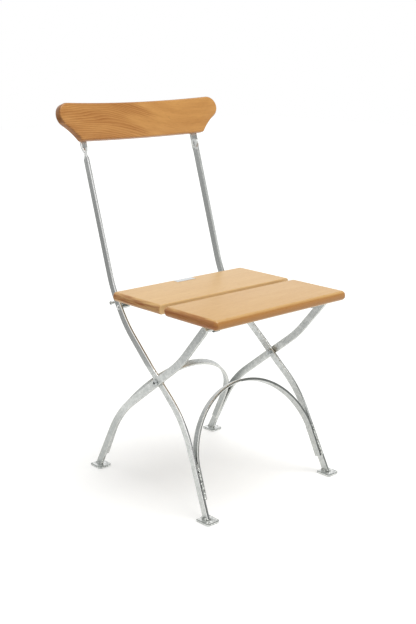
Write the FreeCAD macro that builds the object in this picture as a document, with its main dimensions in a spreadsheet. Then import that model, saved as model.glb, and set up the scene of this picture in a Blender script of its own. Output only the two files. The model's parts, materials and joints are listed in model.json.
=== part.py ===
import FreeCAD, Part
import math
import os

import Sketcher
from FreeCAD import Placement, Rotation, Vector

# Folding garden chair in galvanised flat bar with wooden seat slats and backrest board.
# Millimetres. Z is up, the chair faces -Y, the floor is Z = 0 and the chair is mirrored about X = 0.

os.makedirs("parts", exist_ok=True)
doc = FreeCAD.newDocument("GardenChair")

SIZES = {
    # Flat bar that all four legs and both hoops are bent from
    "bar_wide": 18,
    "bar_thick": 6,
    # Scissor pivot of the two bars on each side
    "pivot_y": -45.43,
    "pivot_height": 265.6,
    "pivot_half": 174.6,
    "pivot_gap": 1.5,
    # Back upright, seen from the side: leans are from the vertical, in degrees
    "front_low_lean": 24.7,
    "front_mid_lean": 50.19,
    "upright_lean": 17.12,
    "front_bend_low": 229,
    "front_bend_high": 271,
    "front_straight_low": 62.3,
    "front_straight_high": 127.4,
    "twist_height": 732,
    "twist_length": 28,
    "flat_top_length": 91.7,
    # Back upright, seen from the front
    "upright_inset": 8.1,
    "splay": 3.95,
    "splay_drop": 20.6,
    "jog_start": 27.4,
    "jog_rise": 105,
    "jog_round": 60,
    # Rear leg, seen from the side
    "rear_low_lean": 28.63,
    "rear_mid_lean": 52.64,
    "rear_top_lean": 41.12,
    "rear_bend_low": 291,
    "rear_bend_high": 279,
    "rear_straight_low": 113.5,
    "rear_straight_high": 71.4,
    "rear_tip_length": 91.4,
    # Hoops that tie each pair of legs: the arch's rise and the haunches' radius are shares of the half width
    "hoop_low_end": 39,
    "hoop_mid_height": 60,
    "front_hoop_lean": 22.5,
    "front_hoop_crown": 266.7,
    "front_rise_share": 0.8608,
    "front_haunch_share": 0.7004,
    "front_hoop_gap": 0.5,
    "rear_hoop_lean": 26.1,
    "rear_hoop_crown": 274.7,
    "rear_rise_share": 0.8728,
    "rear_haunch_share": 0.6928,
    "weld_round": 3.4,
    # Foot plates
    "foot_across": 36,
    "foot_long": 39,
    "foot_thick": 5,
    "foot_corner": 8,
    "foot_heel": 2,
    "foot_forward": 6,
    # Rods, pins and bolts
    "rod_diameter": 8,
    "rear_rod_diameter": 6,
    "run_clear": 0.06,
    "touch_gap": 0.3,
    "bolt_head_diameter": 16,
    "bolt_head_high": 4.6,
    "bolt_socket_across": 5,
    "nut_round": 7.5,
    "nut_high": 6.5,
    "bolt_end": 1.5,
    "washer_diameter": 17,
    "rod_head_diameter": 9,
    "rod_head_high": 3.5,
    "rod_head_gap": 1.5,
    "stop_pin_length": 30,
    # Seat
    "slat_long": 398,
    "slat_deep": 168,
    "slat_thick": 22,
    "slat_gap": 12.5,
    "slat_nose": 10.5,
    "slat_slot_round": 2,
    "slat_end_round": 8.5,
    "seat_overhang": 54.9,
    "strap_inset": 16.5,
    "strap_wide": 16,
    "strap_thick": 5,
    "strap_front": 18,
    "strap_bend": 7,
    "crank_start": -16,
    "crank_length": 13,
    "rear_rod_drop": 4,
    "rear_rod_gap": 4.8,
    "knuckle_round": 7,
    "seat_plate_long": 55,
    "seat_plate_deep": 17,
    "seat_plate_thick": 0.8,
    "seat_plate_inset": 12,
    # Wood screws
    "screw_diameter": 5,
    "screw_head_diameter": 10,
    "screw_head_high": 2.4,
    "screw_bite": 13,
    "screw_edge": 38,
    # Backrest board
    "board_rise": 38,
    "board_tall": 86.5,
    "board_thick": 20,
    "board_bow": 1570,
    "board_bottom_half": 183,
    "board_corner": 8,
    "board_hollow": 2,
    "ear_half": 208.5,
    "ear_round": 26.5,
    "sweep_round": 150,
    "board_round": 4,
    "board_screw_low": 20,
    "board_screw_step": 45,
}

sheet = doc.addObject("Spreadsheet::Sheet", "Sizes")
for row, (alias, number) in enumerate(SIZES.items(), start=1):
    sheet.set("A%d" % row, alias)
    sheet.set("B%d" % row, str(number))
    sheet.setAlias("B%d" % row, alias)
doc.recompute()


def size(alias):
    """Return one driving dimension from the sheet."""
    return float(sheet.get(alias))


def degree(alias):
    """Return one angle from the sheet in radians."""
    return math.radians(size(alias))


NODES = []


def keep(thing, label):
    """Name a finished sub-part and put it on the list of parts to write."""
    thing.Label = label
    NODES.append(thing)
    return thing


def bind(thing, **sizes):
    """Tie properties of an object to expressions on the sheet."""
    for name, rule in sizes.items():
        thing.setExpression(name, rule)
    return thing


# Plane geometry of the two bars of one side, in (y, z)

def step(start, lean, length):
    """Move a length along a direction that leans from the vertical towards +Y."""
    return (start[0] + length * math.sin(lean), start[1] + length * math.cos(lean))


def corner_after(start, lean, straight, turn, bend):
    """Return the virtual corner of a bend that starts after a straight length."""
    return step(start, lean, straight + bend * math.tan(abs(turn) / 2))


PIVOT = (size("pivot_y"), size("pivot_height"))
SPLAY_TOP = size("pivot_height") - size("splay_drop")
JOG_LOW = size("pivot_height") + size("jog_start")
JOG_HIGH = JOG_LOW + size("jog_rise")
UPRIGHT_X = size("pivot_half") - size("upright_inset")
STRAP_X = UPRIGHT_X - size("strap_inset")
BOARD_FOOT = size("twist_height") + size("board_rise")
FOOT_TOP = size("foot_thick")
BELOW = -25.0

front_low = degree("front_low_lean")
front_mid = degree("front_mid_lean")
upright = degree("upright_lean")
FRONT_KNEE_HIGH = corner_after(PIVOT, front_mid, size("front_straight_high"), front_mid - upright,
                               size("front_bend_high"))
FRONT_KNEE_LOW = corner_after(PIVOT, front_mid + math.pi, size("front_straight_low"), front_mid - front_low,
                              size("front_bend_low"))


def front_leg_y(height):
    """Return y of the front leg's centre line at a height below the low bend."""
    return FRONT_KNEE_LOW[0] + (height - FRONT_KNEE_LOW[1]) * math.tan(front_low)


def upright_y(height):
    """Return y of the upright's centre line at a height above the high bend."""
    return FRONT_KNEE_HIGH[0] + (height - FRONT_KNEE_HIGH[1]) * math.tan(upright)


def front_leg_x(height):
    """Return x of the middle of the splayed front leg at a height below the splay's top."""
    return size("pivot_half") + (SPLAY_TOP - height) * math.tan(degree("splay"))


rear_low = -degree("rear_low_lean")
rear_mid = -degree("rear_mid_lean")
rear_top = -degree("rear_top_lean")
REAR_KNEE_HIGH = corner_after(PIVOT, rear_mid, size("rear_straight_high"), rear_mid - rear_top,
                              size("rear_bend_high"))
REAR_KNEE_LOW = corner_after(PIVOT, rear_mid + math.pi, size("rear_straight_low"), rear_mid - rear_low,
                             size("rear_bend_low"))
HINGE = step(REAR_KNEE_HIGH, rear_top,
             size("rear_tip_length") + size("rear_bend_high") * math.tan(abs(rear_mid - rear_top) / 2))
REAR_HALF = size("pivot_half") + size("bar_thick") + size("pivot_gap")


def rear_leg_y(height):
    """Return y of the rear leg's centre line at a height below its low bend."""
    return REAR_KNEE_LOW[0] + (height - REAR_KNEE_LOW[1]) * math.tan(rear_low)


# Rear rod and stop pin, both placed from the upright's high bend
high_start = step(PIVOT, front_mid, size("front_straight_high"))
BEND_CENTRE = (high_start[0] - size("front_bend_high") * math.cos(front_mid),
               high_start[1] + size("front_bend_high") * math.sin(front_mid))


def beside_bend(height, outwards):
    """Return y at a height on the circle a distance outside the high bend's centre line."""
    reach = size("front_bend_high") + outwards
    return BEND_CENTRE[0] + math.sqrt(reach ** 2 - (height - BEND_CENTRE[1]) ** 2)


ROD_RADIUS = size("rod_diameter") / 2
REAR_ROD_RADIUS = size("rear_rod_diameter") / 2
REAR_ROD_Z = HINGE[1] - size("rear_rod_drop")
REAR_ROD = (beside_bend(REAR_ROD_Z, size("bar_wide") / 2 + REAR_ROD_RADIUS + size("rear_rod_gap")), REAR_ROD_Z)
STOP_Z = REAR_ROD_Z - size("strap_thick") / 2 - size("touch_gap") - ROD_RADIUS
STOP = (beside_bend(STOP_Z, 0.0), STOP_Z)


# Building blocks

def new_body(name):
    """Add an empty body."""
    return doc.addObject("PartDesign::Body", name)


def new_sketch(body, name, role, offset=None):
    """Add a sketch on one of the body's own origin planes, moved by an offset in that plane's axes."""
    sketch = body.newObject("Sketcher::SketchObject", name)
    plane = [one for one in body.Origin.OriginFeatures if one.Role == role][0]
    sketch.AttachmentSupport = (plane, "")
    sketch.MapMode = "FlatFace"
    if offset is not None:
        sketch.AttachmentOffset = offset
    return sketch


def drive(sketch, constraint, rule):
    """Add a dimension to a sketch and tie it to an expression."""
    index = sketch.addConstraint(constraint)
    sketch.setExpression("Constraints[%d]" % index, rule)
    return index


def rectangle(sketch, wide_rule, tall_rule, wide, tall):
    """Draw a rectangle about the sketch's origin with driven width and height."""
    points = [Vector(-wide / 2, -tall / 2), Vector(wide / 2, -tall / 2),
              Vector(wide / 2, tall / 2), Vector(-wide / 2, tall / 2)]
    for index in range(4):
        sketch.addGeometry(Part.LineSegment(points[index], points[(index + 1) % 4]), False)
    for index in range(4):
        sketch.addConstraint(Sketcher.Constraint("Coincident", index, 2, (index + 1) % 4, 1))
    for index in (0, 2):
        sketch.addConstraint(Sketcher.Constraint("Horizontal", index))
    for index in (1, 3):
        sketch.addConstraint(Sketcher.Constraint("Vertical", index))
    sketch.addConstraint(Sketcher.Constraint("Symmetric", 0, 1, 1, 2, -1, 1))
    drive(sketch, Sketcher.Constraint("DistanceX", 0, 1, 0, 2, wide), wide_rule)
    drive(sketch, Sketcher.Constraint("DistanceY", 1, 1, 1, 2, tall), tall_rule)


def draw_spine(sketch, corners, rounds, leans):
    """Draw lines through corners joined by tangent arcs, with driven radii and line directions.

    Line number k becomes sketch element 2k, and the arc after it element 2k + 1.
    """
    points = [Vector(one[0], one[1], 0) for one in corners]
    heads = [(points[k + 1] - points[k]).normalize() for k in range(len(points) - 1)]
    start = points[0]
    arcs = []
    for k, rounding in enumerate(rounds):
        before, after, corner = heads[k], heads[k + 1], points[k + 1]
        turn = before.x * after.y - before.y * after.x
        radius = size(rounding)
        cut = radius * math.tan(before.getAngle(after) / 2)
        enter = corner - before * cut
        leave = corner + after * cut
        side = 1 if turn > 0 else -1
        centre = enter + Vector(-before.y, before.x, 0) * (radius * side)
        sketch.addGeometry(Part.LineSegment(start, enter), False)
        first, last = (enter, leave) if side > 0 else (leave, enter)
        angles = [math.atan2(one.y - centre.y, one.x - centre.x) for one in (first, last)]
        sketch.addGeometry(Part.ArcOfCircle(Part.Circle(centre, Vector(0, 0, 1), radius), *angles), False)
        arcs.append(side)
        start = leave
    sketch.addGeometry(Part.LineSegment(start, points[-1]), False)
    for k, side in enumerate(arcs):
        first, last = (1, 2) if side > 0 else (2, 1)
        sketch.addConstraint(Sketcher.Constraint("Tangent", 2 * k, 2, 2 * k + 1, first))
        sketch.addConstraint(Sketcher.Constraint("Tangent", 2 * k + 1, last, 2 * k + 2, 1))
        drive(sketch, Sketcher.Constraint("Radius", 2 * k + 1, size(rounds[k])), "Sizes." + rounds[k])
    for k, rule in enumerate(leans):
        if rule:
            angle = math.atan2(heads[k].y, heads[k].x)
            drive(sketch, Sketcher.Constraint("Angle", 2 * k, angle), rule)


def sweep_bar(body, spine, section, name):
    """Run a section along the whole of a spine sketch."""
    pipe = body.newObject("PartDesign::AdditivePipe", name)
    pipe.Profile = section
    pipe.Spine = (spine, ["Edge%d" % (k + 1) for k in range(spine.GeometryCount)])
    pipe.Transition = "Right corner"
    return pipe


def cylinder_x(name, centre, x_from, diameter_rule, length_rule):
    """Add a cylinder along +X that starts at x_from on the axis through centre (y, z)."""
    part = doc.addObject("Part::Cylinder", name)
    bind(part, Radius="(%s) / 2" % diameter_rule, Height=length_rule)
    part.Placement = Placement(Vector(x_from, centre[0], centre[1]), Rotation(Vector(0, 1, 0), 90))
    return part


def cylinder_on(name, placement, diameter_rule, length_rule):
    """Add a cylinder along the Z axis of a placement."""
    part = doc.addObject("Part::Cylinder", name)
    bind(part, Radius="(%s) / 2" % diameter_rule, Height=length_rule)
    part.Placement = placement
    return part


def cut(name, base, tools):
    """Take one or more solids away from a base."""
    tool = tools[0]
    if len(tools) > 1:
        tool = doc.addObject("Part::MultiFuse", name + "Tools")
        tool.Shapes = tools
    part = doc.addObject("Part::Cut", name)
    part.Base = base
    part.Tool = tool
    return part


def join(name, things):
    """Fuse several solids into one."""
    part = doc.addObject("Part::MultiFuse", name)
    part.Shapes = things
    part.Refine = True
    return part


def group(name, things):
    """Hold identical pieces together as separate solids."""
    part = doc.addObject("Part::Compound", name)
    part.Links = things
    return part


def picked(shape, wanted):
    """Return the names of the edges whose two ends pass a test."""
    names = []
    for index, edge in enumerate(shape.Edges, start=1):
        ends = [one.Point for one in edge.Vertexes]
        if wanted(ends[0], ends[-1]):
            names.append("Edge%d" % index)
    return names


def rounded(body, name, base, edges, rule):
    """Round some edges of a body's latest feature by a driven radius."""
    rounding = body.newObject("PartDesign::Fillet", name)
    rounding.Base = (base, edges)
    bind(rounding, Radius=rule)
    doc.recompute()
    return rounding


def mirrored(name, source):
    """Add the other side's copy of a part."""
    part = doc.addObject("Part::Mirroring", name)
    part.Source = source
    part.Normal = Vector(1, 0, 0)
    part.Base = Vector(0, 0, 0)
    return part


def both_sides(name, part, label):
    """Keep a right-hand part and its left-hand mirror image."""
    keep(part, label + "_right")
    keep(mirrored(name, part), label + "_left")


ROD = "Sizes.rod_diameter"
REAR_ROD_SIZE = "Sizes.rear_rod_diameter"
ROD_HOLE = "Sizes.rod_diameter + 2 * Sizes.run_clear"
SCREW_HOLE = "Sizes.screw_diameter + 2 * Sizes.run_clear"

floor_block = doc.addObject("Part::Box", "FloorBlock")
bind(floor_block, Length="1000", Width="1000", Height="100")
floor_block.Placement.Base = Vector(-500, -500, FOOT_TOP - 100)


# Back upright: a side view and a front view of one bent bar, cut to what both share

def upright_side():
    """The bar as seen from the side, wide enough in X to hold every jog."""
    body = new_body("UprightSide")
    spine = new_sketch(body, "UprightSideSpine", "YZ_Plane")
    low_end = (front_leg_y(BELOW), BELOW)
    top_end = (upright_y(size("twist_height")), size("twist_height"))
    draw_spine(spine, [low_end, FRONT_KNEE_LOW, FRONT_KNEE_HIGH, top_end], ["front_bend_low", "front_bend_high"],
               ["90 deg - Sizes.front_low_lean * 1 deg", "90 deg - Sizes.front_mid_lean * 1 deg",
                "90 deg - Sizes.upright_lean * 1 deg"])
    straight = step(PIVOT, front_mid + math.pi, size("front_straight_low"))
    drive(spine, Sketcher.Constraint("DistanceX", 2, 1, straight[0]),
          "Sizes.pivot_y - Sizes.front_straight_low * sin(Sizes.front_mid_lean * 1 deg)")
    drive(spine, Sketcher.Constraint("DistanceY", 2, 1, straight[1]),
          "Sizes.pivot_height - Sizes.front_straight_low * cos(Sizes.front_mid_lean * 1 deg)")
    drive(spine, Sketcher.Constraint("Distance", 2, size("front_straight_low") + size("front_straight_high")),
          "Sizes.front_straight_low + Sizes.front_straight_high")
    spine.addConstraint(Sketcher.Constraint("DistanceY", 0, 1, BELOW))
    drive(spine, Sketcher.Constraint("DistanceY", 4, 2, top_end[1]), "Sizes.twist_height")
    section = new_sketch(body, "UprightSideSection", "XY_Plane",
                         Placement(Vector(0, *low_end), Rotation(Vector(1, 0, 0), -size("front_low_lean"))))
    rectangle(section, "80", "Sizes.bar_wide", 80, size("bar_wide"))
    sweep_bar(body, spine, section, "UprightSideSweep")
    body.Placement.Base = Vector(size("pivot_half"), 0, 0)
    return body


def upright_front():
    """The bar as seen from the front: upright in plane, a jog to the pivot, then the splayed leg."""
    body = new_body("UprightFront")
    spine = new_sketch(body, "UprightFrontSpine", "XZ_Plane")
    inner, outer = UPRIGHT_X, size("pivot_half")
    top = size("twist_height") + 20
    jog = math.atan2(size("upright_inset"), size("jog_rise"))
    radius = size("jog_round")
    draw_spine(spine, [(front_leg_x(BELOW), BELOW), (outer, SPLAY_TOP), (outer, JOG_LOW), (inner, JOG_HIGH),
                       (inner, top)],
               ["jog_round"] * 3,
               ["90 deg + Sizes.splay * 1 deg", "90 deg", "90 deg + atan(Sizes.upright_inset / Sizes.jog_rise)",
                "90 deg"])
    drive(spine, Sketcher.Constraint("DistanceX", 2, 1, outer), "Sizes.pivot_half")
    drive(spine, Sketcher.Constraint("DistanceY", 2, 1, SPLAY_TOP + radius * math.tan(degree("splay") / 2)),
          "Sizes.pivot_height - Sizes.splay_drop + Sizes.jog_round * tan(Sizes.splay * 0.5 deg)")
    half_jog = "0.5 * atan(Sizes.upright_inset / Sizes.jog_rise)"
    drive(spine, Sketcher.Constraint("DistanceY", 2, 2, JOG_LOW - radius * math.tan(jog / 2)),
          "Sizes.pivot_height + Sizes.jog_start - Sizes.jog_round * tan(%s)" % half_jog)
    drive(spine, Sketcher.Constraint("DistanceY", 6, 1, JOG_HIGH + radius * math.tan(jog / 2)),
          "Sizes.pivot_height + Sizes.jog_start + Sizes.jog_rise + Sizes.jog_round * tan(%s)" % half_jog)
    spine.addConstraint(Sketcher.Constraint("DistanceY", 0, 1, BELOW))
    drive(spine, Sketcher.Constraint("DistanceY", 6, 2, top), "Sizes.twist_height + 20")
    section = new_sketch(body, "UprightFrontSection", "XY_Plane",
                         Placement(Vector(front_leg_x(BELOW), 0, BELOW), Rotation(Vector(0, 1, 0), -size("splay"))))
    rectangle(section, "Sizes.bar_thick", "900", size("bar_thick"), 900)
    sweep_bar(body, spine, section, "UprightFrontSweep")
    return body


# The board is bowed about an upright line in front of the chair, so each flat end is turned to lie along it
BOW_REACH = size("board_bow") + size("bar_thick") / 2
BOW_TURN = math.degrees(math.asin(UPRIGHT_X / BOW_REACH))
BOW_DEPTH = BOW_REACH * math.cos(math.radians(BOW_TURN))


def upright_top():
    """The twist of nearly a quarter turn above the straight upright and the flat end that lies behind the board."""
    body = new_body("UprightTop")
    start = (upright_y(size("twist_height")), size("twist_height"))
    lean = Rotation(Vector(1, 0, 0), -size("upright_lean"))
    sketches = []
    steps = 6
    for index in range(steps + 1):
        part = index / steps
        y, z = step(start, upright, size("twist_length") * part)
        turned = lean.multiply(Rotation(Vector(0, 0, 1), (90 - BOW_TURN) * part))
        sketch = new_sketch(body, "Twist%d" % index, "XY_Plane",
                            Placement(Vector(UPRIGHT_X, y, z), turned))
        rectangle(sketch, "Sizes.bar_thick", "Sizes.bar_wide", size("bar_thick"), size("bar_wide"))
        sketches.append(sketch)
    loft = body.newObject("PartDesign::AdditiveLoft", "TwistLoft")
    loft.Profile = sketches[0]
    loft.Sections = sketches[1:]
    end = new_sketch(body, "FlatTopSection", "XY_Plane", sketches[-1].AttachmentOffset)
    rectangle(end, "Sizes.bar_thick", "Sizes.bar_wide", size("bar_thick"), size("bar_wide"))
    pad = body.newObject("PartDesign::Pad", "FlatTop")
    pad.Profile = end
    bind(pad, Length="Sizes.flat_top_length")
    return body


BOARD_LEAN = Rotation(Vector(1, 0, 0), -size("upright_lean"))
BOARD_BACK = Vector(0, upright_y(BOARD_FOOT), BOARD_FOOT)
BOARD_UP = BOARD_LEAN.multVec(Vector(0, 0, 1))
BOARD_FRONTWARDS = BOARD_LEAN.multVec(Vector(0, -1, 0))


def board_point(x, up, forward):
    """Return a point from the upright's centre line at the board's foot: sideways, up the board and forwards."""
    return BOARD_BACK + Vector(x, 0, 0) + BOARD_UP * up + BOARD_FRONTWARDS * forward


def board_screw_places(side):
    """Return the placements of one upright's two board screws, each with Z pointing squarely into the board."""
    turn = BOARD_LEAN.multiply(Rotation(Vector(0, 0, 1), -side * BOW_TURN)).multiply(Rotation(Vector(1, 0, 0), 90))
    back = turn.multVec(Vector(0, 0, -size("bar_thick") / 2))
    heights = [size("board_screw_low"), size("board_screw_low") + size("board_screw_step")]
    return [Placement(board_point(side * UPRIGHT_X, up, 0) + back, turn) for up in heights]


shared = doc.addObject("Part::Common", "UprightBend")
shared.Base = upright_side()
shared.Tool = upright_front()
upright_blank = join("UprightBlank", [shared, upright_top()])
upright_holes = [
    cylinder_x("UprightPivotHole", PIVOT, size("pivot_half") - 10, ROD_HOLE, "20"),
    cylinder_x("UprightStopHole", STOP, UPRIGHT_X - 10, ROD_HOLE, "20"),
]
for number, place in enumerate(board_screw_places(1)):
    spot = Placement(place.Base - place.Rotation.multVec(Vector(0, 0, 5)), place.Rotation)
    upright_holes.append(cylinder_on("UprightScrewHole%d" % number, spot, SCREW_HOLE, "20"))
upright_right = cut("BackUpright", upright_blank, upright_holes + [floor_block])
both_sides("BackUprightLeft", upright_right, "back_upright")


# Rear leg: one bar in a flat plane with a round eye at the seat hinge

def rear_leg_bar():
    """The bent bar from below the floor to the hinge axis."""
    body = new_body("RearLegBar")
    spine = new_sketch(body, "RearLegSpine", "YZ_Plane")
    low_end = (rear_leg_y(BELOW), BELOW)
    draw_spine(spine, [low_end, REAR_KNEE_LOW, REAR_KNEE_HIGH, HINGE], ["rear_bend_low", "rear_bend_high"],
               ["90 deg + Sizes.rear_low_lean * 1 deg", "90 deg + Sizes.rear_mid_lean * 1 deg",
                "90 deg + Sizes.rear_top_lean * 1 deg"])
    straight = step(PIVOT, rear_mid + math.pi, size("rear_straight_low"))
    drive(spine, Sketcher.Constraint("DistanceX", 2, 1, straight[0]),
          "Sizes.pivot_y + Sizes.rear_straight_low * sin(Sizes.rear_mid_lean * 1 deg)")
    drive(spine, Sketcher.Constraint("DistanceY", 2, 1, straight[1]),
          "Sizes.pivot_height - Sizes.rear_straight_low * cos(Sizes.rear_mid_lean * 1 deg)")
    drive(spine, Sketcher.Constraint("Distance", 2, size("rear_straight_low") + size("rear_straight_high")),
          "Sizes.rear_straight_low + Sizes.rear_straight_high")
    drive(spine, Sketcher.Constraint("Distance", 4, size("rear_tip_length")), "Sizes.rear_tip_length")
    spine.addConstraint(Sketcher.Constraint("DistanceY", 0, 1, BELOW))
    section = new_sketch(body, "RearLegSection", "XY_Plane",
                         Placement(Vector(0, *low_end), Rotation(Vector(1, 0, 0), size("rear_low_lean"))))
    rectangle(section, "Sizes.bar_thick", "Sizes.bar_wide", size("bar_thick"), size("bar_wide"))
    sweep_bar(body, spine, section, "RearLegSweep")
    body.Placement.Base = Vector(REAR_HALF, 0, 0)
    return body


rear_inner = REAR_HALF - size("bar_thick") / 2
rear_eye = cylinder_x("RearLegEye", HINGE, rear_inner, "Sizes.bar_wide", "Sizes.bar_thick")
rear_blank = join("RearLegBlank", [rear_leg_bar(), rear_eye])
rear_leg = cut("RearLeg", rear_blank, [
    cylinder_x("RearPivotHole", PIVOT, rear_inner - 5, ROD_HOLE, "20"),
    cylinder_x("RearHingeHole", HINGE, rear_inner - 5, ROD_HOLE, "20"),
    floor_block,
])
both_sides("RearLegLeft", rear_leg, "rear_leg")


# Hoops: one bar bent to an arch in a leaning plane, its straight ends against the legs' inner faces

def hoop(name, lean, leg_y, low_half, half_rule, tilt, side):
    """Build one hoop.

    lean is the plane's lean towards +Y, leg_y the centre line's y at the hoop's middle height, low_half half the
    distance between the bar's middles at the lower ends, half_rule the same from the sheet, tilt their closing
    angle going up and side the first word of the hoop's sizes.
    """
    body = new_body(name)
    mid = size("hoop_mid_height")
    base = Vector(0, leg_y - mid * math.tan(lean), 0)
    low = size("hoop_low_end") / math.cos(lean)
    crown = size(side + "_hoop_crown")
    haunch = size(side + "_haunch_share") * low_half
    spring_high = crown - size(side + "_rise_share") * low_half
    spine = new_sketch(body, name + "Spine", "XZ_Plane",
                       Placement(Vector(0, 0, -base.y), Rotation(Vector(1, 0, 0), -math.degrees(lean))))
    along = Vector(-math.sin(tilt), math.cos(tilt), 0)
    inwards = Vector(-math.cos(tilt), -math.sin(tilt), 0)
    start = Vector(low_half, low, 0)
    leave = start + along * ((spring_high - low) / math.cos(tilt))
    centre = leave + inwards * haunch
    # The crown's circle has its centre on the middle line and holds the haunch's circle, touching it from inside
    rise = crown - centre.y
    top_round = (centre.x ** 2 + rise ** 2 - haunch ** 2) / (2 * (rise - haunch))
    top_centre = Vector(0, crown - top_round, 0)
    toward = (centre - top_centre).normalize()
    meet = math.atan2(toward.y, toward.x)
    spring = math.atan2(leave.y - centre.y, leave.x - centre.x)
    normal = Vector(0, 0, 1)
    far_centre = Vector(-centre.x, centre.y, 0)
    spine.addGeometry(Part.LineSegment(start, leave), False)
    spine.addGeometry(Part.ArcOfCircle(Part.Circle(centre, normal, haunch), spring, meet), False)
    spine.addGeometry(Part.ArcOfCircle(Part.Circle(top_centre, normal, top_round), meet, math.pi - meet), False)
    spine.addGeometry(Part.ArcOfCircle(Part.Circle(far_centre, normal, haunch), math.pi - meet, math.pi - spring),
                      False)
    spine.addGeometry(Part.LineSegment(Vector(-leave.x, leave.y, 0), Vector(-start.x, start.y, 0)), False)
    for index in range(4):
        spine.addConstraint(Sketcher.Constraint("Tangent", index, 2, index + 1, 1))
    for index in (1, 3):
        drive(spine, Sketcher.Constraint("Radius", index, haunch), "Sizes.%s_haunch_share * %s" % (side, half_rule))
    spine.addConstraint(Sketcher.Constraint("PointOnObject", 2, 3, -2))
    for index, end in ((0, 2), (4, 1)):
        drive(spine, Sketcher.Constraint("DistanceY", index, end, spring_high),
              "Sizes.%s_hoop_crown - Sizes.%s_rise_share * %s" % (side, side, half_rule))
    across = Vector(math.cos(tilt), math.sin(tilt) * math.sin(lean), math.sin(tilt) * math.cos(lean))
    plane_normal = Vector(0, math.cos(lean), -math.sin(lean))
    place = Placement(base + Vector(low_half, low * math.sin(lean), low * math.cos(lean)),
                      Rotation(across, plane_normal, Vector(), "XYZ"))
    section = new_sketch(body, name + "Section", "XY_Plane", place)
    rectangle(section, "Sizes.bar_thick", "Sizes.bar_wide", size("bar_thick"), size("bar_wide"))
    sweep_bar(body, spine, section, name + "Sweep")
    return body


def bead(name, at, along, length_rule, base):
    """One weld bead: a short round bar along a direction, trimmed by the pieces it joins."""
    turn = Rotation(Vector(0, 0, 1), along)
    blank = cylinder_on(name + "Blank", Placement(at, turn), "2 * Sizes.weld_round", length_rule)
    return cut(name, blank, base)


def hoop_welds(name, body, leg, lean, leg_y, face_x, tilt):
    """Two beads a side: under the hoop's end and in the crotch where it leaves the leg."""
    beads = []
    mid = size("hoop_mid_height")
    across = Vector(0, math.cos(lean), -math.sin(lean))
    reach = size("bar_wide") - 3
    for number, height in enumerate((size("hoop_low_end"), 2 * mid)):
        lift = -0.5 if number == 0 else 0.0
        x = face_x(height) - (0.5 if number == 0 else 1.0)
        middle = Vector(x, leg_y + (height + lift - mid) * math.tan(lean), height + lift)
        beads.append(bead("%s%d" % (name, number), middle - across * (reach / 2), across, "Sizes.bar_wide - 3",
                          [body, leg]))
    everything = beads + [mirrored("%sFar%d" % (name, number), one) for number, one in enumerate(beads)]
    return group(name, everything)


front_lean = degree("front_hoop_lean")
front_tilt = math.atan(math.tan(degree("splay")) * math.cos(front_lean))
front_face = size("bar_thick") + size("front_hoop_gap")
front_half_rule = ("(Sizes.pivot_half - Sizes.bar_thick - Sizes.front_hoop_gap"
                   " + (Sizes.pivot_height - Sizes.splay_drop - Sizes.hoop_low_end) * tan(Sizes.splay * 1 deg))")
front_hoop = hoop("FrontHoop", front_lean, front_leg_y(size("hoop_mid_height")),
                  front_leg_x(size("hoop_low_end")) - front_face, front_half_rule, front_tilt, "front")
keep(front_hoop, "front_hoop")
rear_lean = -degree("rear_hoop_lean")
rear_hoop = hoop("RearHoop", rear_lean, rear_leg_y(size("hoop_mid_height")), REAR_HALF - size("bar_thick"),
                 "(Sizes.pivot_half + Sizes.pivot_gap)", 0.0, "rear")
keep(rear_hoop, "rear_hoop")


# Feet: a plate under each leg, welded on both sides

def foot(name, label, x, leg_y, leg, body_label):
    """Build one side's foot plate, its mirror image and the beads beside the leg."""
    body = new_body(name)
    sketch = new_sketch(body, name + "Outline", "XY_Plane",
                        Placement(Vector(x, leg_y - size("foot_forward"), 0), Rotation()))
    rectangle(sketch, "Sizes.foot_across", "Sizes.foot_long", size("foot_across"), size("foot_long"))
    pad = body.newObject("PartDesign::Pad", name + "Plate")
    pad.Profile = sketch
    bind(pad, Length="Sizes.foot_thick")
    doc.recompute()
    middle_y = leg_y - size("foot_forward")
    toes = picked(pad.Shape, lambda one, other: abs(one.z - other.z) > 1 and one.y < middle_y)
    toed = rounded(body, name + "Toes", pad, toes, "Sizes.foot_corner")
    heels = picked(toed.Shape, lambda one, other: abs(one.z - other.z) > 1 and one.y > middle_y)
    rounded(body, name + "Heels", toed, heels, "Sizes.foot_heel")
    both_sides(name + "Left", body, label)
    beads = []
    for number, side in enumerate((-1, 1)):
        at = Vector(x + side * size("bar_thick") / 2, leg_y - size("bar_wide") / 2, FOOT_TOP)
        beads.append(bead("%sBead%d" % (name, number), at, Vector(0, 1, 0), "Sizes.bar_wide", [body, leg]))
    far = [mirrored("%sFarBead%d" % (name, number), one) for number, one in enumerate(beads)]
    keep(group(name + "Welds", beads + far), body_label)


foot("FrontFoot", "front_foot", front_leg_x(FOOT_TOP), front_leg_y(FOOT_TOP), upright_right, "front_foot_welds")
foot("RearFoot", "rear_foot", REAR_HALF, rear_leg_y(FOOT_TOP), rear_leg, "rear_foot_welds")


# Weld beads of the hoops
keep(hoop_welds("FrontHoopWelds", front_hoop, upright_right, front_lean, front_leg_y(size("hoop_mid_height")),
                lambda height: front_leg_x(height) - size("bar_thick") / 2, front_tilt), "front_hoop_welds")
keep(hoop_welds("RearHoopWelds", rear_hoop, rear_leg, rear_lean, rear_leg_y(size("hoop_mid_height")),
                lambda height: rear_inner, 0.0), "rear_hoop_welds")


# Scissor pivot: bolt from outside, washer between the bars, nut inside

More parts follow.
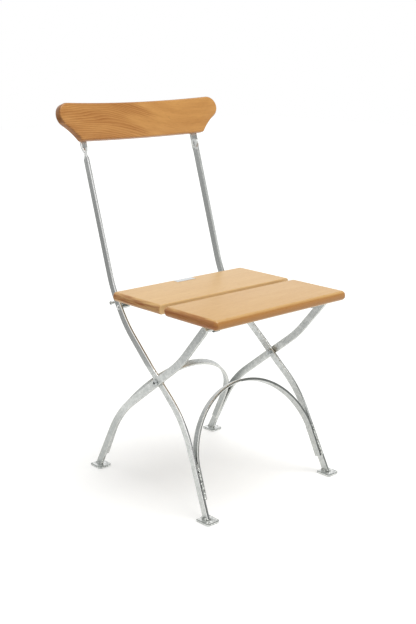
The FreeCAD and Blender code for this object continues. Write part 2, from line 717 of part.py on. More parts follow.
def pivot_bolt():
    """Bolt with a bevelled round head, a six-sided socket and a shank through both bars and the nut."""
    body = new_body("PivotBolt")
    sketch = new_sketch(body, "BoltProfile", "XZ_Plane")
    rod, head, high = ROD_RADIUS, size("bolt_head_diameter") / 2, size("bolt_head_high")
    shank = 2 * size("bar_thick") + size("pivot_gap") + size("nut_high") + size("bolt_end")
    outline = [Vector(-shank, 0, 0), Vector(-shank, rod, 0), Vector(0, rod, 0), Vector(0, head, 0),
               Vector(0.45 * high, head, 0), Vector(high, 0.6 * head, 0), Vector(high, 0, 0)]
    for index, point in enumerate(outline):
        sketch.addGeometry(Part.LineSegment(point, outline[(index + 1) % len(outline)]), False)
    for index in range(len(outline)):
        sketch.addConstraint(Sketcher.Constraint("Coincident", index, 2, (index + 1) % len(outline), 1))
    sketch.addConstraint(Sketcher.Constraint("PointOnObject", 0, 1, -1))
    sketch.addConstraint(Sketcher.Constraint("PointOnObject", 5, 2, -1))
    for index in (0, 2, 5):
        sketch.addConstraint(Sketcher.Constraint("Vertical", index))
    for index in (1, 3):
        sketch.addConstraint(Sketcher.Constraint("Horizontal", index))
    sketch.addConstraint(Sketcher.Constraint("PointOnObject", 2, 1, -2))
    drive(sketch, Sketcher.Constraint("DistanceX", 1, 1, 1, 2, shank),
          "2 * Sizes.bar_thick + Sizes.pivot_gap + Sizes.nut_high + Sizes.bolt_end")
    drive(sketch, Sketcher.Constraint("DistanceY", 0, 2, rod), "Sizes.rod_diameter / 2")
    drive(sketch, Sketcher.Constraint("DistanceY", 2, 2, head), "Sizes.bolt_head_diameter / 2")
    drive(sketch, Sketcher.Constraint("DistanceX", 3, 2, 0.45 * high), "0.45 * Sizes.bolt_head_high")
    drive(sketch, Sketcher.Constraint("DistanceX", 5, 2, high), "Sizes.bolt_head_high")
    drive(sketch, Sketcher.Constraint("DistanceY", 4, 2, 0.6 * head), "0.3 * Sizes.bolt_head_diameter")
    turned = body.newObject("PartDesign::Revolution", "BoltTurned")
    turned.Profile = sketch
    turned.ReferenceAxis = (sketch, ["H_Axis"])
    turned.Angle = 360
    body.Placement.Base = Vector(REAR_HALF + size("bar_thick") / 2, *PIVOT)
    return body


bolt_outside = REAR_HALF + size("bar_thick") / 2
socket = doc.addObject("Part::Prism", "BoltSocket")
socket.Polygon = 6
bind(socket, Circumradius="Sizes.bolt_socket_across / sqrt(3)", Height="10")
socket.Placement = Placement(Vector(bolt_outside + 0.4 * size("bolt_head_high"), *PIVOT),
                             Rotation(Vector(0, 1, 0), 90))
both_sides("PivotBoltLeft", cut("PivotBoltSocketed", pivot_bolt(), [socket]), "pivot_bolt")

washer_from = size("pivot_half") + size("bar_thick") / 2
washer = cut("PivotWasher", cylinder_x("WasherDisc", PIVOT, washer_from, "Sizes.washer_diameter", "Sizes.pivot_gap"),
             [cylinder_x("WasherHole", PIVOT, washer_from - 5, ROD_HOLE, "20")])
both_sides("PivotWasherLeft", washer, "pivot_washer")

nut_from = size("pivot_half") - size("bar_thick") / 2 - size("nut_high")
nut_block = doc.addObject("Part::Prism", "NutBlock")
nut_block.Polygon = 6
bind(nut_block, Circumradius="Sizes.nut_round", Height="Sizes.nut_high")
nut_block.Placement = Placement(Vector(nut_from, *PIVOT), Rotation(Vector(0, 1, 0), 90))
nut = cut("PivotNut", nut_block, [cylinder_x("NutHole", PIVOT, nut_from - 5, ROD_HOLE, "20")])
both_sides("PivotNutLeft", nut, "pivot_nut")


# Stop pins through the uprights, reaching under the strap tails
stop_from = UPRIGHT_X + size("bar_thick") / 2 - size("stop_pin_length")
both_sides("StopPinLeft", cylinder_x("StopPin", STOP, stop_from, ROD, "Sizes.stop_pin_length"), "stop_pin")


# Rods: the front one carries the seat on the rear legs, the rear one slides behind the uprights
front_rod = cylinder_x("FrontRod", HINGE, -bolt_outside, ROD,
                       "2 * (Sizes.pivot_half + Sizes.pivot_gap + 1.5 * Sizes.bar_thick)")
keep(front_rod, "front_rod")
rod_end = UPRIGHT_X + size("bar_thick") / 2 + size("rod_head_gap")
rear_rod = cylinder_x("RearRod", REAR_ROD, -rod_end, REAR_ROD_SIZE,
                      "2 * (Sizes.pivot_half - Sizes.upright_inset + Sizes.bar_thick / 2 + Sizes.rod_head_gap)")
keep(rear_rod, "rear_rod")
rod_head = cylinder_x("RearRodHead", REAR_ROD, rod_end, "Sizes.rod_head_diameter", "Sizes.rod_head_high")
keep(group("RearRodHeads", [rod_head, mirrored("RearRodHeadFar", rod_head)]), "rear_rod_heads")


# Seat slats, straps and knuckles
STRAP_BOTTOM = HINGE[1] + size("knuckle_round")
SLAT_BOTTOM = STRAP_BOTTOM + size("strap_thick")
SLAT_FRONT = HINGE[0] - size("seat_overhang")


def slat_screw_spots(front):
    """Return (y) of the two rows of screws of one slat."""
    return [front + size("screw_edge"), front + size("slat_deep") - size("screw_edge")]


def slat(name, label, front, square_front):
    """One plank with half-round long edges, or a square one towards the slot, and blind screw holes below."""
    body = new_body(name)
    middle = Vector(front + size("slat_deep") / 2, SLAT_BOTTOM + size("slat_thick") / 2, -size("slat_long") / 2)
    sketch = new_sketch(body, name + "Profile", "YZ_Plane", Placement(middle, Rotation()))
    rectangle(sketch, "Sizes.slat_deep", "Sizes.slat_thick", size("slat_deep"), size("slat_thick"))
    pad = body.newObject("PartDesign::Pad", name + "Plank")
    pad.Profile = sketch
    bind(pad, Length="Sizes.slat_long")
    doc.recompute()

    def runs_along(one, other):
        return abs(one.x - other.x) > 1

    def in_slot(one, other):
        return square_front and abs(one.y - front) < 1e-6 and abs(other.y - front) < 1e-6

    def at_end(one, other):
        return (abs(one.x - other.x) < 1e-6 and abs(abs(one.x) - size("slat_long") / 2) < 1e-6
                and not in_slot(one, other))

    noses = picked(pad.Shape, lambda one, other: runs_along(one, other)
                   and not (square_front and one.y < middle.x))
    feature = rounded(body, name + "Noses", pad, noses, "Sizes.slat_nose")
    feature = rounded(body, name + "Ends", feature, picked(feature.Shape, at_end), "Sizes.slat_end_round")
    if square_front:
        rounded(body, name + "SlotEdges", feature, picked(feature.Shape, in_slot), "Sizes.slat_slot_round")
    holes = []
    for number, y in enumerate(slat_screw_spots(front)):
        for side in (-1, 1):
            spot = Placement(Vector(side * STRAP_X, y, SLAT_BOTTOM - 5), Rotation())
            holes.append(cylinder_on("%sHole%d%d" % (name, number, side + 1), spot, SCREW_HOLE,
                                     "5 + Sizes.screw_bite + 1"))
    return keep(cut(name + "Drilled", body, holes), label)


SLAT_REAR = SLAT_FRONT + size("slat_deep") + size("slat_gap")
slat("FrontSlat", "front_slat", SLAT_FRONT, False)
slat("RearSlat", "rear_slat", SLAT_REAR, True)

SEAT_BACK = SLAT_REAR + size("slat_deep")


def strap():
    """Flat strap under the slats, cranked down behind them to the rear rod's knuckle."""
    body = new_body("SeatStrapBar")
    spine = new_sketch(body, "StrapSpine", "YZ_Plane")
    high = STRAP_BOTTOM + size("strap_thick") / 2
    crank = SEAT_BACK + size("crank_start")
    start = (HINGE[0] - size("strap_front"), high)
    draw_spine(spine, [start, (crank, high), (crank + size("crank_length"), REAR_ROD[1]), REAR_ROD],
               ["strap_bend", "strap_bend"], ["", "", ""])
    section = new_sketch(body, "StrapSection", "XZ_Plane",
                         Placement(Vector(0, high, -start[0]), Rotation()))
    rectangle(section, "Sizes.strap_wide", "Sizes.strap_thick", size("strap_wide"), size("strap_thick"))
    sweep_bar(body, spine, section, "StrapSweep")
    body.Placement.Base = Vector(STRAP_X, 0, 0)
    return body


knuckle_from = STRAP_X - size("strap_wide") / 2
KNUCKLE = "2 * Sizes.knuckle_round"
strap_holes = [cylinder_x("StrapKnuckleSeat", REAR_ROD, knuckle_from - 5, KNUCKLE, "Sizes.strap_wide + 10")]
for number, y in enumerate(slat_screw_spots(SLAT_FRONT) + slat_screw_spots(SLAT_REAR)):
    spot = Placement(Vector(STRAP_X, y, STRAP_BOTTOM - 5), Rotation())
    strap_holes.append(cylinder_on("StrapHole%d" % number, spot, SCREW_HOLE, "20"))
both_sides("SeatStrapLeft", cut("SeatStrap", strap(), strap_holes), "seat_strap")

barrel = cylinder_x("FrontKnuckleBarrel", HINGE, knuckle_from, KNUCKLE, "Sizes.strap_wide")
saddle = doc.addObject("Part::Box", "FrontKnuckleSaddle")
bind(saddle, Length="Sizes.strap_wide", Width=KNUCKLE, Height="Sizes.knuckle_round")
saddle.Placement.Base = Vector(knuckle_from, HINGE[0] - size("knuckle_round"), HINGE[1])
front_knuckle = cut("FrontKnuckle", join("FrontKnuckleBlock", [barrel, saddle]),
                    [cylinder_x("FrontKnuckleBore", HINGE, knuckle_from - 5, ROD_HOLE, "Sizes.strap_wide + 10")])
both_sides("FrontKnuckleLeft", front_knuckle, "front_knuckle")
rear_knuckle = cut("RearKnuckle", cylinder_x("RearKnuckleBarrel", REAR_ROD, knuckle_from, KNUCKLE, "Sizes.strap_wide"),
                   [cylinder_x("RearKnuckleBore", REAR_ROD, knuckle_from - 5,
                               REAR_ROD_SIZE + " + 2 * Sizes.run_clear", "Sizes.strap_wide + 10")])
both_sides("RearKnuckleLeft", rear_knuckle, "rear_knuckle")


def wood_screw(name, place, through_rule):
    """Screw with a flat round head: Z of the placement points from the head's seat into the wood."""
    shank = cylinder_on(name + "Shank", place, "Sizes.screw_diameter", "%s + Sizes.screw_bite" % through_rule)
    back = place.Rotation.multVec(Vector(0, 0, -size("screw_head_high")))
    head = cylinder_on(name + "Head", Placement(place.Base + back, place.Rotation), "Sizes.screw_head_diameter",
                       "Sizes.screw_head_high")
    return join(name, [shank, head])


seat_screws = []
for number, y in enumerate(slat_screw_spots(SLAT_FRONT) + slat_screw_spots(SLAT_REAR)):
    for side in (-1, 1):
        spot = Placement(Vector(side * STRAP_X, y, STRAP_BOTTOM), Rotation())
        seat_screws.append(wood_screw("SlatScrew%d%d" % (number, side + 1), spot, "Sizes.strap_thick"))
keep(group("SlatScrews", seat_screws), "slat_screws")

seat_plate = doc.addObject("Part::Box", "SeatPlate")
bind(seat_plate, Length="Sizes.seat_plate_long", Width="Sizes.seat_plate_deep", Height="Sizes.seat_plate_thick")
seat_plate.Placement.Base = Vector(-size("seat_plate_long") / 2,
                                   SEAT_BACK - size("seat_plate_inset") - size("seat_plate_deep"),
                                   SLAT_BOTTOM + size("slat_thick"))
keep(seat_plate, "seat_edge_plate")


# Backrest board: ears swept out from a narrower lower edge, screwed on from behind

def bowed_plank(body):
    """A plank bent to the bow, taller and longer than the board, with its rear face on the uprights' flat ends."""
    spare = 5
    base = BOARD_BACK - BOARD_UP * spare
    sketch = new_sketch(body, "BowSection", "XY_Plane", Placement(base, BOARD_LEAN))
    rear = size("board_bow")
    front = rear - size("board_thick")
    spread = math.asin((size("ear_half") + size("ear_round") + 20) / front)

    def on_bow(radius, angle):
        return Vector(radius * math.sin(angle), radius * math.cos(angle) - BOW_DEPTH, 0)

    sketch.addGeometry(Part.Arc(*[on_bow(rear, spread * k) for k in (-1, 0, 1)]), False)
    sketch.addGeometry(Part.LineSegment(on_bow(rear, spread), on_bow(front, spread)), False)
    sketch.addGeometry(Part.Arc(*[on_bow(front, spread * k) for k in (1, 0, -1)]), False)
    sketch.addGeometry(Part.LineSegment(on_bow(front, -spread), on_bow(rear, -spread)), False)
    pad = body.newObject("PartDesign::Pad", "BowedPlank")
    pad.Profile = sketch
    bind(pad, Length="Sizes.board_tall + %d" % (2 * spare))
    return pad


def board_outline(sketch):
    """Draw the board's outline: a straight foot, hollow sweeps out to round ears and a slightly dipped top."""
    tall, low = size("board_tall"), size("board_bottom_half")
    ear, ear_x, sweep = size("ear_round"), size("ear_half"), size("sweep_round")
    soft = size("board_corner")
    ear_centre = Vector(ear_x, tall - ear, 0)
    foot_point = Vector(low, 0, 0)
    # The hollow sweep's centre is a sweep radius from the lower corner and touches the ear's circle from outside
    apart = ear_centre - foot_point
    gap = apart.Length
    along = apart.normalize()
    reach = (sweep ** 2 - (sweep + ear) ** 2 + gap ** 2) / (2 * gap)
    aside = math.sqrt(sweep ** 2 - reach ** 2)
    sweep_centre = foot_point + along * reach + Vector(along.y, -along.x, 0) * aside
    touch = ear_centre + (sweep_centre - ear_centre).normalize() * ear
    # The softened lower corner touches the foot line and the sweep from inside the board
    corner_y = soft
    corner_x = sweep_centre.x - math.sqrt((sweep + soft) ** 2 - (corner_y - sweep_centre.y) ** 2)
    corner_centre = Vector(corner_x, corner_y, 0)
    corner_foot = Vector(corner_x, 0, 0)
    corner_side = corner_centre + (sweep_centre - corner_centre).normalize() * soft
    # The dip's circle stands above the board and touches both ears' circles from outside
    hollow = size("board_hollow")
    dip_round = (ear_x ** 2 + hollow ** 2) / (2 * hollow) - ear
    dip = Vector(0, tall - hollow, 0)
    peak = ear_centre + (dip + Vector(0, dip_round, 0) - ear_centre).normalize() * ear

    def flip(point):
        return Vector(-point.x, point.y, 0)

    def arc_about(start, centre, radius, end):
        """Return an arc from start to end whose middle lies on the shorter way round a centre."""
        middle = ((start - centre) + (end - centre)).normalize() * radius + centre
        return Part.Arc(start, middle, end)

    sketch.addGeometry(Part.LineSegment(flip(corner_foot), corner_foot), False)
    sketch.addGeometry(arc_about(corner_foot, corner_centre, soft, corner_side), False)
    sketch.addGeometry(arc_about(corner_side, sweep_centre, sweep, touch), False)
    sketch.addGeometry(arc_about(touch, ear_centre, ear, peak), False)
    sketch.addGeometry(Part.Arc(peak, dip, flip(peak)), False)
    sketch.addGeometry(arc_about(flip(peak), flip(ear_centre), ear, flip(touch)), False)
    sketch.addGeometry(arc_about(flip(touch), flip(sweep_centre), sweep, flip(corner_side)), False)
    sketch.addGeometry(arc_about(flip(corner_side), flip(corner_centre), soft, flip(corner_foot)), False)


def backrest():
    """The bowed board, cut to its outline, with the edges of both faces rounded."""
    body = new_body("BackrestBoard")
    plank = bowed_plank(body)
    offset = Placement(Vector(0, BOARD_BACK.z, -BOARD_BACK.y), Rotation(Vector(1, 0, 0), -size("upright_lean")))
    sketch = new_sketch(body, "BoardOutline", "XZ_Plane", offset)
    board_outline(sketch)
    frame_half, frame_tall = size("ear_half") + size("ear_round") + 60, size("board_tall") + 40
    corners = [Vector(-frame_half, -40, 0), Vector(frame_half, -40, 0),
               Vector(frame_half, frame_tall, 0), Vector(-frame_half, frame_tall, 0)]
    for index in range(4):
        sketch.addGeometry(Part.LineSegment(corners[index], corners[(index + 1) % 4]), False)
    waste = body.newObject("PartDesign::Pocket", "BoardWaste")
    waste.Profile = sketch
    waste.Midplane = True
    waste.Length = 200
    doc.recompute()
    bows = [face for face in waste.Shape.Faces
            if face.Surface.TypeId == "Part::GeomCylinder" and face.Area > 20000]
    edges = []
    for index, edge in enumerate(waste.Shape.Edges, start=1):
        if any(edge.isSame(other) for face in bows for other in face.Edges):
            edges.append("Edge%d" % index)
    rounded(body, "BoardEdges", waste, edges, "Sizes.board_round")
    return body


board_holes = []
back_screws = []
for side in (-1, 1):
    for number, place in enumerate(board_screw_places(side)):
        tag = "%d%d" % (number, side + 1)
        board_holes.append(cylinder_on("BoardHole" + tag, place, SCREW_HOLE,
                                       "Sizes.bar_thick + Sizes.screw_bite + 1"))
        back_screws.append(wood_screw("BoardScrew" + tag, place, "Sizes.bar_thick"))
keep(cut("BackrestDrilled", backrest(), board_holes), "backrest_board")
keep(group("BackrestScrews", back_screws), "backrest_screws")


# Check every object, then write one file for each sub-part
doc.recompute()
for thing in doc.Objects:
    bad = [flag for flag in thing.State if flag in ("Invalid", "Error")]
    if bad:
        raise RuntimeError("%s (%s) is %s" % (thing.Name, thing.Label, bad))
for node in NODES:
    if node.Shape.isNull() or not node.Shape.isValid():
        raise RuntimeError("%s has no valid shape" % node.Label)
    node.Shape.exportStep("parts/%s.step" % node.Label)
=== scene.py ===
"""Folding garden chair with galvanised flat-bar legs, an oak slat seat and a bowed oak backrest board.

Metres. Z is up, the chair faces -Y, the floor is Z = 0 and the chair is mirrored about X = 0.
"""

from __future__ import annotations

import json
import logging
import math
from dataclasses import dataclass, field
from enum import Enum
from typing import Any

import bmesh
import bpy
from mathutils import Matrix, Vector

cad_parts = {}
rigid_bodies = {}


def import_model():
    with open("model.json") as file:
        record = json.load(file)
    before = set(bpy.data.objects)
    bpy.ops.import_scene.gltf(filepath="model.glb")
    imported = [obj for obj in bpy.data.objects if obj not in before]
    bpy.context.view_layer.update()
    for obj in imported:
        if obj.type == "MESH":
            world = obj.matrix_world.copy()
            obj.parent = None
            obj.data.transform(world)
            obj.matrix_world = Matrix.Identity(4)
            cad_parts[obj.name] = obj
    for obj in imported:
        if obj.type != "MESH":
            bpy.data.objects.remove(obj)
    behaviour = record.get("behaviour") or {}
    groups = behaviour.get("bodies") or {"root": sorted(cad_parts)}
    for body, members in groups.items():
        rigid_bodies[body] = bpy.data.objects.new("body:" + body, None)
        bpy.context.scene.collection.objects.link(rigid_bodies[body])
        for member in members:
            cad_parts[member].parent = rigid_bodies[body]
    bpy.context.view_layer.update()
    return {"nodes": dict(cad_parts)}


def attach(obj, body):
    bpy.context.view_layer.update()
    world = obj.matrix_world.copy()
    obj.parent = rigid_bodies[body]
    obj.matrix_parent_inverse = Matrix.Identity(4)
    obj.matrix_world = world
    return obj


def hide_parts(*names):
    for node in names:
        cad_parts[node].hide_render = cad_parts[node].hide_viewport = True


LOG = logging.getLogger("garden_chair")
MM = 0.001
MERGE_MM = 0.002
CORNER_DEG = 35
SMOOTH_DEG = 26
# How far a face has to look a given way for none and for all of an effect
FRONT_FACING = (0.55, 0.85)
SIDE_FACING = (0.2, 0.8)
END_FACING = (0.1, 0.4)
FLAT_FACING = (0.45, 0.9)
UNDER_FACING = (-0.9, -0.6)
# Where a noise pattern starts to show and where it shows fully
PORE_CUT = (0.58, 0.74)
BAND_CUT = (0.38, 0.62)
LAYER_CUT = (1.7, 2.9)


class Body(str, Enum):
    """The moving bodies that every piece rides on."""

    BACK_FRAME = "back_frame"
    REAR_LEGS = "rear_legs"
    SEAT = "seat"


class Slot(str, Enum):
    """The record's finishes."""

    GALVANISED = "galvanised_steel"
    ZINC = "bright_zinc"
    SEAT_OAK = "seat_oak"
    BACK_OAK = "back_oak"


def linear(code: str) -> tuple[float, float, float, float]:
    """Turn an sRGB hex colour into linear RGBA.

    Args:
        code: Colour as "#rrggbb".

    Returns:
        Red, green, blue and an alpha of 1, all linear.
    """
    parts = [int(code[k:k + 2], 16) / 255 for k in (1, 3, 5)]
    red, green, blue = [p / 12.92 if p <= 0.04045 else ((p + 0.055) / 1.055) ** 2.4 for p in parts]
    return red, green, blue, 1.0


def add_node(tree: bpy.types.NodeTree, kind: str, inputs: dict[Any, Any] | None = None,
             **settings: Any) -> bpy.types.Node:
    """Add one node to a tree with its settings, values and links.

    Args:
        tree: Shader or geometry node tree.
        kind: Blender's name of the node.
        inputs: Value or output socket for each input, by the input's name or number.
        settings: The node's own properties.

    Returns:
        The new node.
    """
    node = tree.nodes.new(kind)
    for name, value in settings.items():
        setattr(node, name, value)
    for key, value in (inputs or {}).items():
        if isinstance(value, bpy.types.NodeSocket):
            tree.links.new(value, node.inputs[key])
        else:
            node.inputs[key].default_value = value
    return node


def seen_rays(tree: bpy.types.NodeTree) -> bpy.types.NodeSocket:
    """Add a switch that is 1 for what the eye sees, directly, mirrored or through glass, and 0 for plain lighting.

    Args:
        tree: Shader tree of a material or world.

    Returns:
        The switch's output.
    """
    path = add_node(tree, "ShaderNodeLightPath")
    seen = add_node(tree, "ShaderNodeMath", {0: path.outputs["Is Camera Ray"], 1: path.outputs["Is Glossy Ray"]},
                    operation="MAXIMUM").outputs[0]
    return add_node(tree, "ShaderNodeMath", {0: seen, 1: path.outputs["Is Transmission Ray"]},
                    operation="MAXIMUM").outputs[0]


def per_metre(size_mm: float) -> float:
    """Return the texture scale at which a pattern repeats about every size_mm."""
    return 1.0 / (size_mm * MM)


@dataclass(frozen=True)
class Finish:
    """A finish with its material's name."""

    name: str

    def blank(self) -> tuple[bpy.types.Material, bpy.types.NodeTree, bpy.types.Node]:
        """Make an empty node material.

        Returns:
            The material, its tree and its output node.
        """
        material = bpy.data.materials.new(self.name)
        material.use_nodes = True
        tree = material.node_tree
        tree.nodes.clear()
        return material, tree, add_node(tree, "ShaderNodeOutputMaterial")


@dataclass(frozen=True)
class ZincCoat(Finish):
    """Zinc on steel: a satin grey metal with faint crystals, cloudy patches and a fine grit from dipping."""

    dull: str = "#a9adab"
    bright: str = "#dbdddb"
    crystal_mm: float = 6.0
    cloud_mm: float = 16.0
    grit_mm: float = 3.0
    rough_low: float = 0.26
    rough_high: float = 0.42
    grit_depth_mm: float = 0.10
    crystal_share: float = 0.30
    cloud_share: float = 0.45
    grit_share: float = 1.1
    usual_level: float = 0.6
    # Painted shade: the colour that the zinc turns to near the ground, with its height, fade and share on narrow
    # and wide faces
    painted_shade: str = ""
    painted_shade_mm: float = 110.0
    painted_shade_fade_mm: float = 60.0
    painted_shade_narrow: float = 0.0
    painted_shade_wide: float = 0.0
    painted_shade_outside_only: bool = False

    def make(self) -> bpy.types.Material:
        """Build the coat's material.

        Returns:
            The finished material.
        """
        material, tree, output = self.blank()
        coords = add_node(tree, "ShaderNodeTexCoord")
        place = coords.outputs["Object"]
        # Crystals are a few millimetres wide on real bar; they are drawn as coarse as the picture can show
        crystals = add_node(tree, "ShaderNodeTexVoronoi", {"Vector": place, "Scale": per_metre(self.crystal_mm)})
        crystal = add_node(tree, "ShaderNodeSeparateColor", {"Color": crystals.outputs["Color"]}).outputs["Red"]
        cloud = add_node(tree, "ShaderNodeTexNoise", {"Vector": place, "Scale": per_metre(self.cloud_mm),
                                                      "Detail": 3.0})
        grit = add_node(tree, "ShaderNodeTexNoise", {"Vector": place, "Scale": per_metre(self.grit_mm),
                                                     "Detail": 2.0, "Roughness": 0.6})
        # Each pattern swings the coat evenly to both sides of its usual level
        patches: Any = self.usual_level - 0.5 * (self.crystal_share + self.cloud_share + self.grit_share)
        for pattern, share in ((crystal, self.crystal_share), (cloud.outputs["Fac"], self.cloud_share),
                               (grit.outputs["Fac"], self.grit_share)):
            patches = add_node(tree, "ShaderNodeMath", {0: pattern, 1: share, 2: patches},
                               operation="MULTIPLY_ADD").outputs[0]
        level = add_node(tree, "ShaderNodeClamp", {"Value": patches}).outputs[0]
        colour = add_node(tree, "ShaderNodeMix", {0: level, 6: linear(self.dull), 7: linear(self.bright)},
                          data_type="RGBA").outputs[2]
        if self.painted_shade:
            # Painted shade: the zinc turns darker near the ground, by its own share on narrow and on wide faces
            spot = add_node(tree, "ShaderNodeSeparateXYZ", {"Vector": place})
            low = add_node(tree, "ShaderNodeMapRange", {"Value": spot.outputs["Z"], 1: self.painted_shade_mm * MM,
                                                        2: (self.painted_shade_mm + self.painted_shade_fade_mm) * MM,
                                                        3: 1.0, 4: 0.0},
                           interpolation_type="SMOOTHSTEP").outputs[0]
            facing = add_node(tree, "ShaderNodeSeparateXYZ", {"Vector": coords.outputs["Normal"]})
            front = add_node(tree, "ShaderNodeMath", {0: facing.outputs["Y"]}, operation="ABSOLUTE").outputs[0]
            narrow = add_node(tree, "ShaderNodeMapRange", {"Value": front, 1: FRONT_FACING[0], 2: FRONT_FACING[1],
                                                           3: 0.0, 4: self.painted_shade_narrow}).outputs[0]
            side = add_node(tree, "ShaderNodeMath", {0: facing.outputs["X"]}, operation="ABSOLUTE").outputs[0]
            if self.painted_shade_outside_only:
                half = add_node(tree, "ShaderNodeMath", {0: spot.outputs["X"]}, operation="SIGN").outputs[0]
                side = add_node(tree, "ShaderNodeMath", {0: facing.outputs["X"], 1: half},
                                operation="MULTIPLY").outputs[0]
            wide = add_node(tree, "ShaderNodeMapRange", {"Value": side, 1: SIDE_FACING[0], 2: SIDE_FACING[1],
                                                         3: 0.0, 4: self.painted_shade_wide}).outputs[0]
            share = add_node(tree, "ShaderNodeMath", {0: narrow, 1: wide}, operation="ADD").outputs[0]
            share = add_node(tree, "ShaderNodeMath", {0: share, 1: low}, operation="MULTIPLY").outputs[0]
            colour = add_node(tree, "ShaderNodeMix", {0: share, 6: colour, 7: linear(self.painted_shade)},
                              data_type="RGBA").outputs[2]
        rough = add_node(tree, "ShaderNodeMapRange", {"Value": level, 1: 0.0, 2: 1.0, 3: self.rough_high,
                                                      4: self.rough_low}).outputs[0]
        bump = add_node(tree, "ShaderNodeBump", {"Strength": 0.6, "Distance": self.grit_depth_mm * MM,
                                                 "Height": grit.outputs["Fac"]})
        shader = add_node(tree, "ShaderNodeBsdfPrincipled", {"Base Color": colour, "Metallic": 1.0,
                                                             "Roughness": rough, "Normal": bump.outputs["Normal"]})
        tree.links.new(shader.outputs["BSDF"], output.inputs["Surface"])
        return material


@dataclass(frozen=True)
class OiledOak(Finish):
    """Planed and oiled oak: warm tan, soft growth bands and fibres along X, edges in a colour for painted shade or
    light, darker ends, a low sheen.
    """

    light: str = "#dcb16a"
    dark: str = "#c89858"
    # Edge colour and share: painted shade on the turned-away faces when darker than the face, painted light when
    # paler
    edge: str = "#ae7029"
    edge_share: float = 0.8
    edge_on_ends: bool = True
    end: str = "#9c5814"
    end_share: float = 0.95
    raw: str = ""
    raw_share: float = 0.8
    face_axis: str = "Z"
    ring_mm: float = 6.0
    ring_share: float = 0.18
    ring_wander: float = 4.0
    ring_fade: float = 0.0
    fade_long_mm: float = 400.0
    part_mm: float = 35.0
    streak_mm: float = 13.0
    streak_share: float = 0.35
    fibre_mm: float = 2.0
    fibre_share: float = 0.9
    fibre_depth_mm: float = 0.08
    layer_mm: float = 4.0
    layer_contrast: float = 3.2
    sweep_mm: float = 0.0
    sweep_from_mm: float = -130.0
    sweep_to_mm: float = 150.0
    drift_share: float = 0.0
    drift_from_mm: float = -20.0
    drift_to_mm: float = 160.0
    shift_mm: tuple[float, float, float] = (0.0, 0.0, 0.0)
    pore_mm: float = 2.2
    pore_share: float = 0.2
    film: float = 0.15
    rough_low: float = 0.30
    rough_high: float = 0.42

    def make(self) -> bpy.types.Material:
        """Build the wood's material.

        Returns:
            The finished material.
        """
        material, tree, output = self.blank()
        coords = add_node(tree, "ShaderNodeTexCoord")
        along = add_node(tree, "ShaderNodeSeparateXYZ", {"Vector": coords.outputs["Object"]}).outputs["X"]
        # The trunk was bent, so the grain drops towards one end of the board
        drop = add_node(tree, "ShaderNodeMapRange",
                        {"Value": along, 1: self.sweep_from_mm * MM, 2: self.sweep_to_mm * MM, 3: 0.0,
                         4: self.sweep_mm * MM}, interpolation_type="SMOOTHSTEP").outputs[0]
        bent = add_node(tree, "ShaderNodeCombineXYZ", {"Z": drop})
        place = add_node(tree, "ShaderNodeVectorMath", {0: coords.outputs["Object"], 1: bent.outputs["Vector"]},
                         operation="ADD").outputs["Vector"]
        start = Vector([p * MM for p in self.shift_mm])
        # Growth bands, fibres, pores and the layers of cut ends are each longer along the board than across
        log, grain, dashes, sheets = [
            add_node(tree, "ShaderNodeMapping", {"Vector": place, "Location": start, "Scale": stretch},
                     vector_type="TEXTURE").outputs["Vector"]
            for stretch in ((4.0, 1.0, 1.0), (20.0, 1.0, 1.0), (7.0, 1.0, 1.0), (20.0, 12.0, 1.0))]
        rings = add_node(tree, "ShaderNodeTexWave",
                         {"Vector": log, "Scale": math.tau / 20 * per_metre(self.ring_mm),
                          "Distortion": self.ring_wander, "Detail": 2.0, "Detail Scale": 0.35},
                         wave_type="BANDS", wave_profile="SAW",
                         bands_direction="Z" if self.face_axis == "Y" else "Y")
        streaks = add_node(tree, "ShaderNodeTexNoise", {"Vector": grain, "Scale": per_metre(self.streak_mm),
                                                        "Detail": 2.0})
        fibres = add_node(tree, "ShaderNodeTexNoise", {"Vector": grain, "Scale": per_metre(self.fibre_mm),
                                                       "Detail": 2.0, "Roughness": 0.65})
        # Pores are fine dashes in real oak; they are drawn wider and longer here so that they show
        pores = add_node(tree, "ShaderNodeTexNoise", {"Vector": dashes, "Scale": per_metre(self.pore_mm),
                                                      "Detail": 1.0})
        pore = add_node(tree, "ShaderNodeMapRange", {"Value": pores.outputs["Fac"], 1: PORE_CUT[0], 2: PORE_CUT[1],
                                                     3: 0.0, 4: self.pore_share},
                        interpolation_type="SMOOTHSTEP").outputs[0]
        # Bands are strong in some parts of the board and nearly vanish in others
        parts = add_node(tree, "ShaderNodeTexNoise", {"Vector": log, "Scale": per_metre(self.part_mm),
                                                      "Detail": 1.0})
        fade = -self.ring_fade / (self.fade_long_mm * MM)
        parts = add_node(tree, "ShaderNodeMath", {0: along, 1: fade, 2: parts.outputs["Fac"]},
                         operation="MULTIPLY_ADD").outputs[0]
        strong = add_node(tree, "ShaderNodeMapRange", {"Value": parts, 1: BAND_CUT[0], 2: BAND_CUT[1], 3: 0.0,
                                                       4: self.ring_share},
                          interpolation_type="SMOOTHSTEP").outputs[0]
        band: Any = 0.5 - 0.25 * self.ring_share - 0.5 * (self.streak_share + self.fibre_share)
        for pattern, share in ((rings, strong), (streaks, self.streak_share), (fibres, self.fibre_share)):
            band = add_node(tree, "ShaderNodeMath", {0: pattern.outputs["Fac"], 1: share, 2: band},
                            operation="MULTIPLY_ADD").outputs[0]
        # The board pales towards the sapwood at one end
        pale = add_node(tree, "ShaderNodeMapRange", {"Value": along, 1: self.drift_from_mm * MM,
                                                     2: self.drift_to_mm * MM, 3: 0.0, 4: self.drift_share},
                        interpolation_type="SMOOTHSTEP").outputs[0]
        band = add_node(tree, "ShaderNodeMath", {0: band, 1: pale}, operation="SUBTRACT").outputs[0]
        band = add_node(tree, "ShaderNodeClamp", {"Value": band}).outputs[0]
        wood = add_node(tree, "ShaderNodeMix", {0: band, 6: linear(self.light), 7: linear(self.dark)},
                        data_type="RGBA").outputs[2]
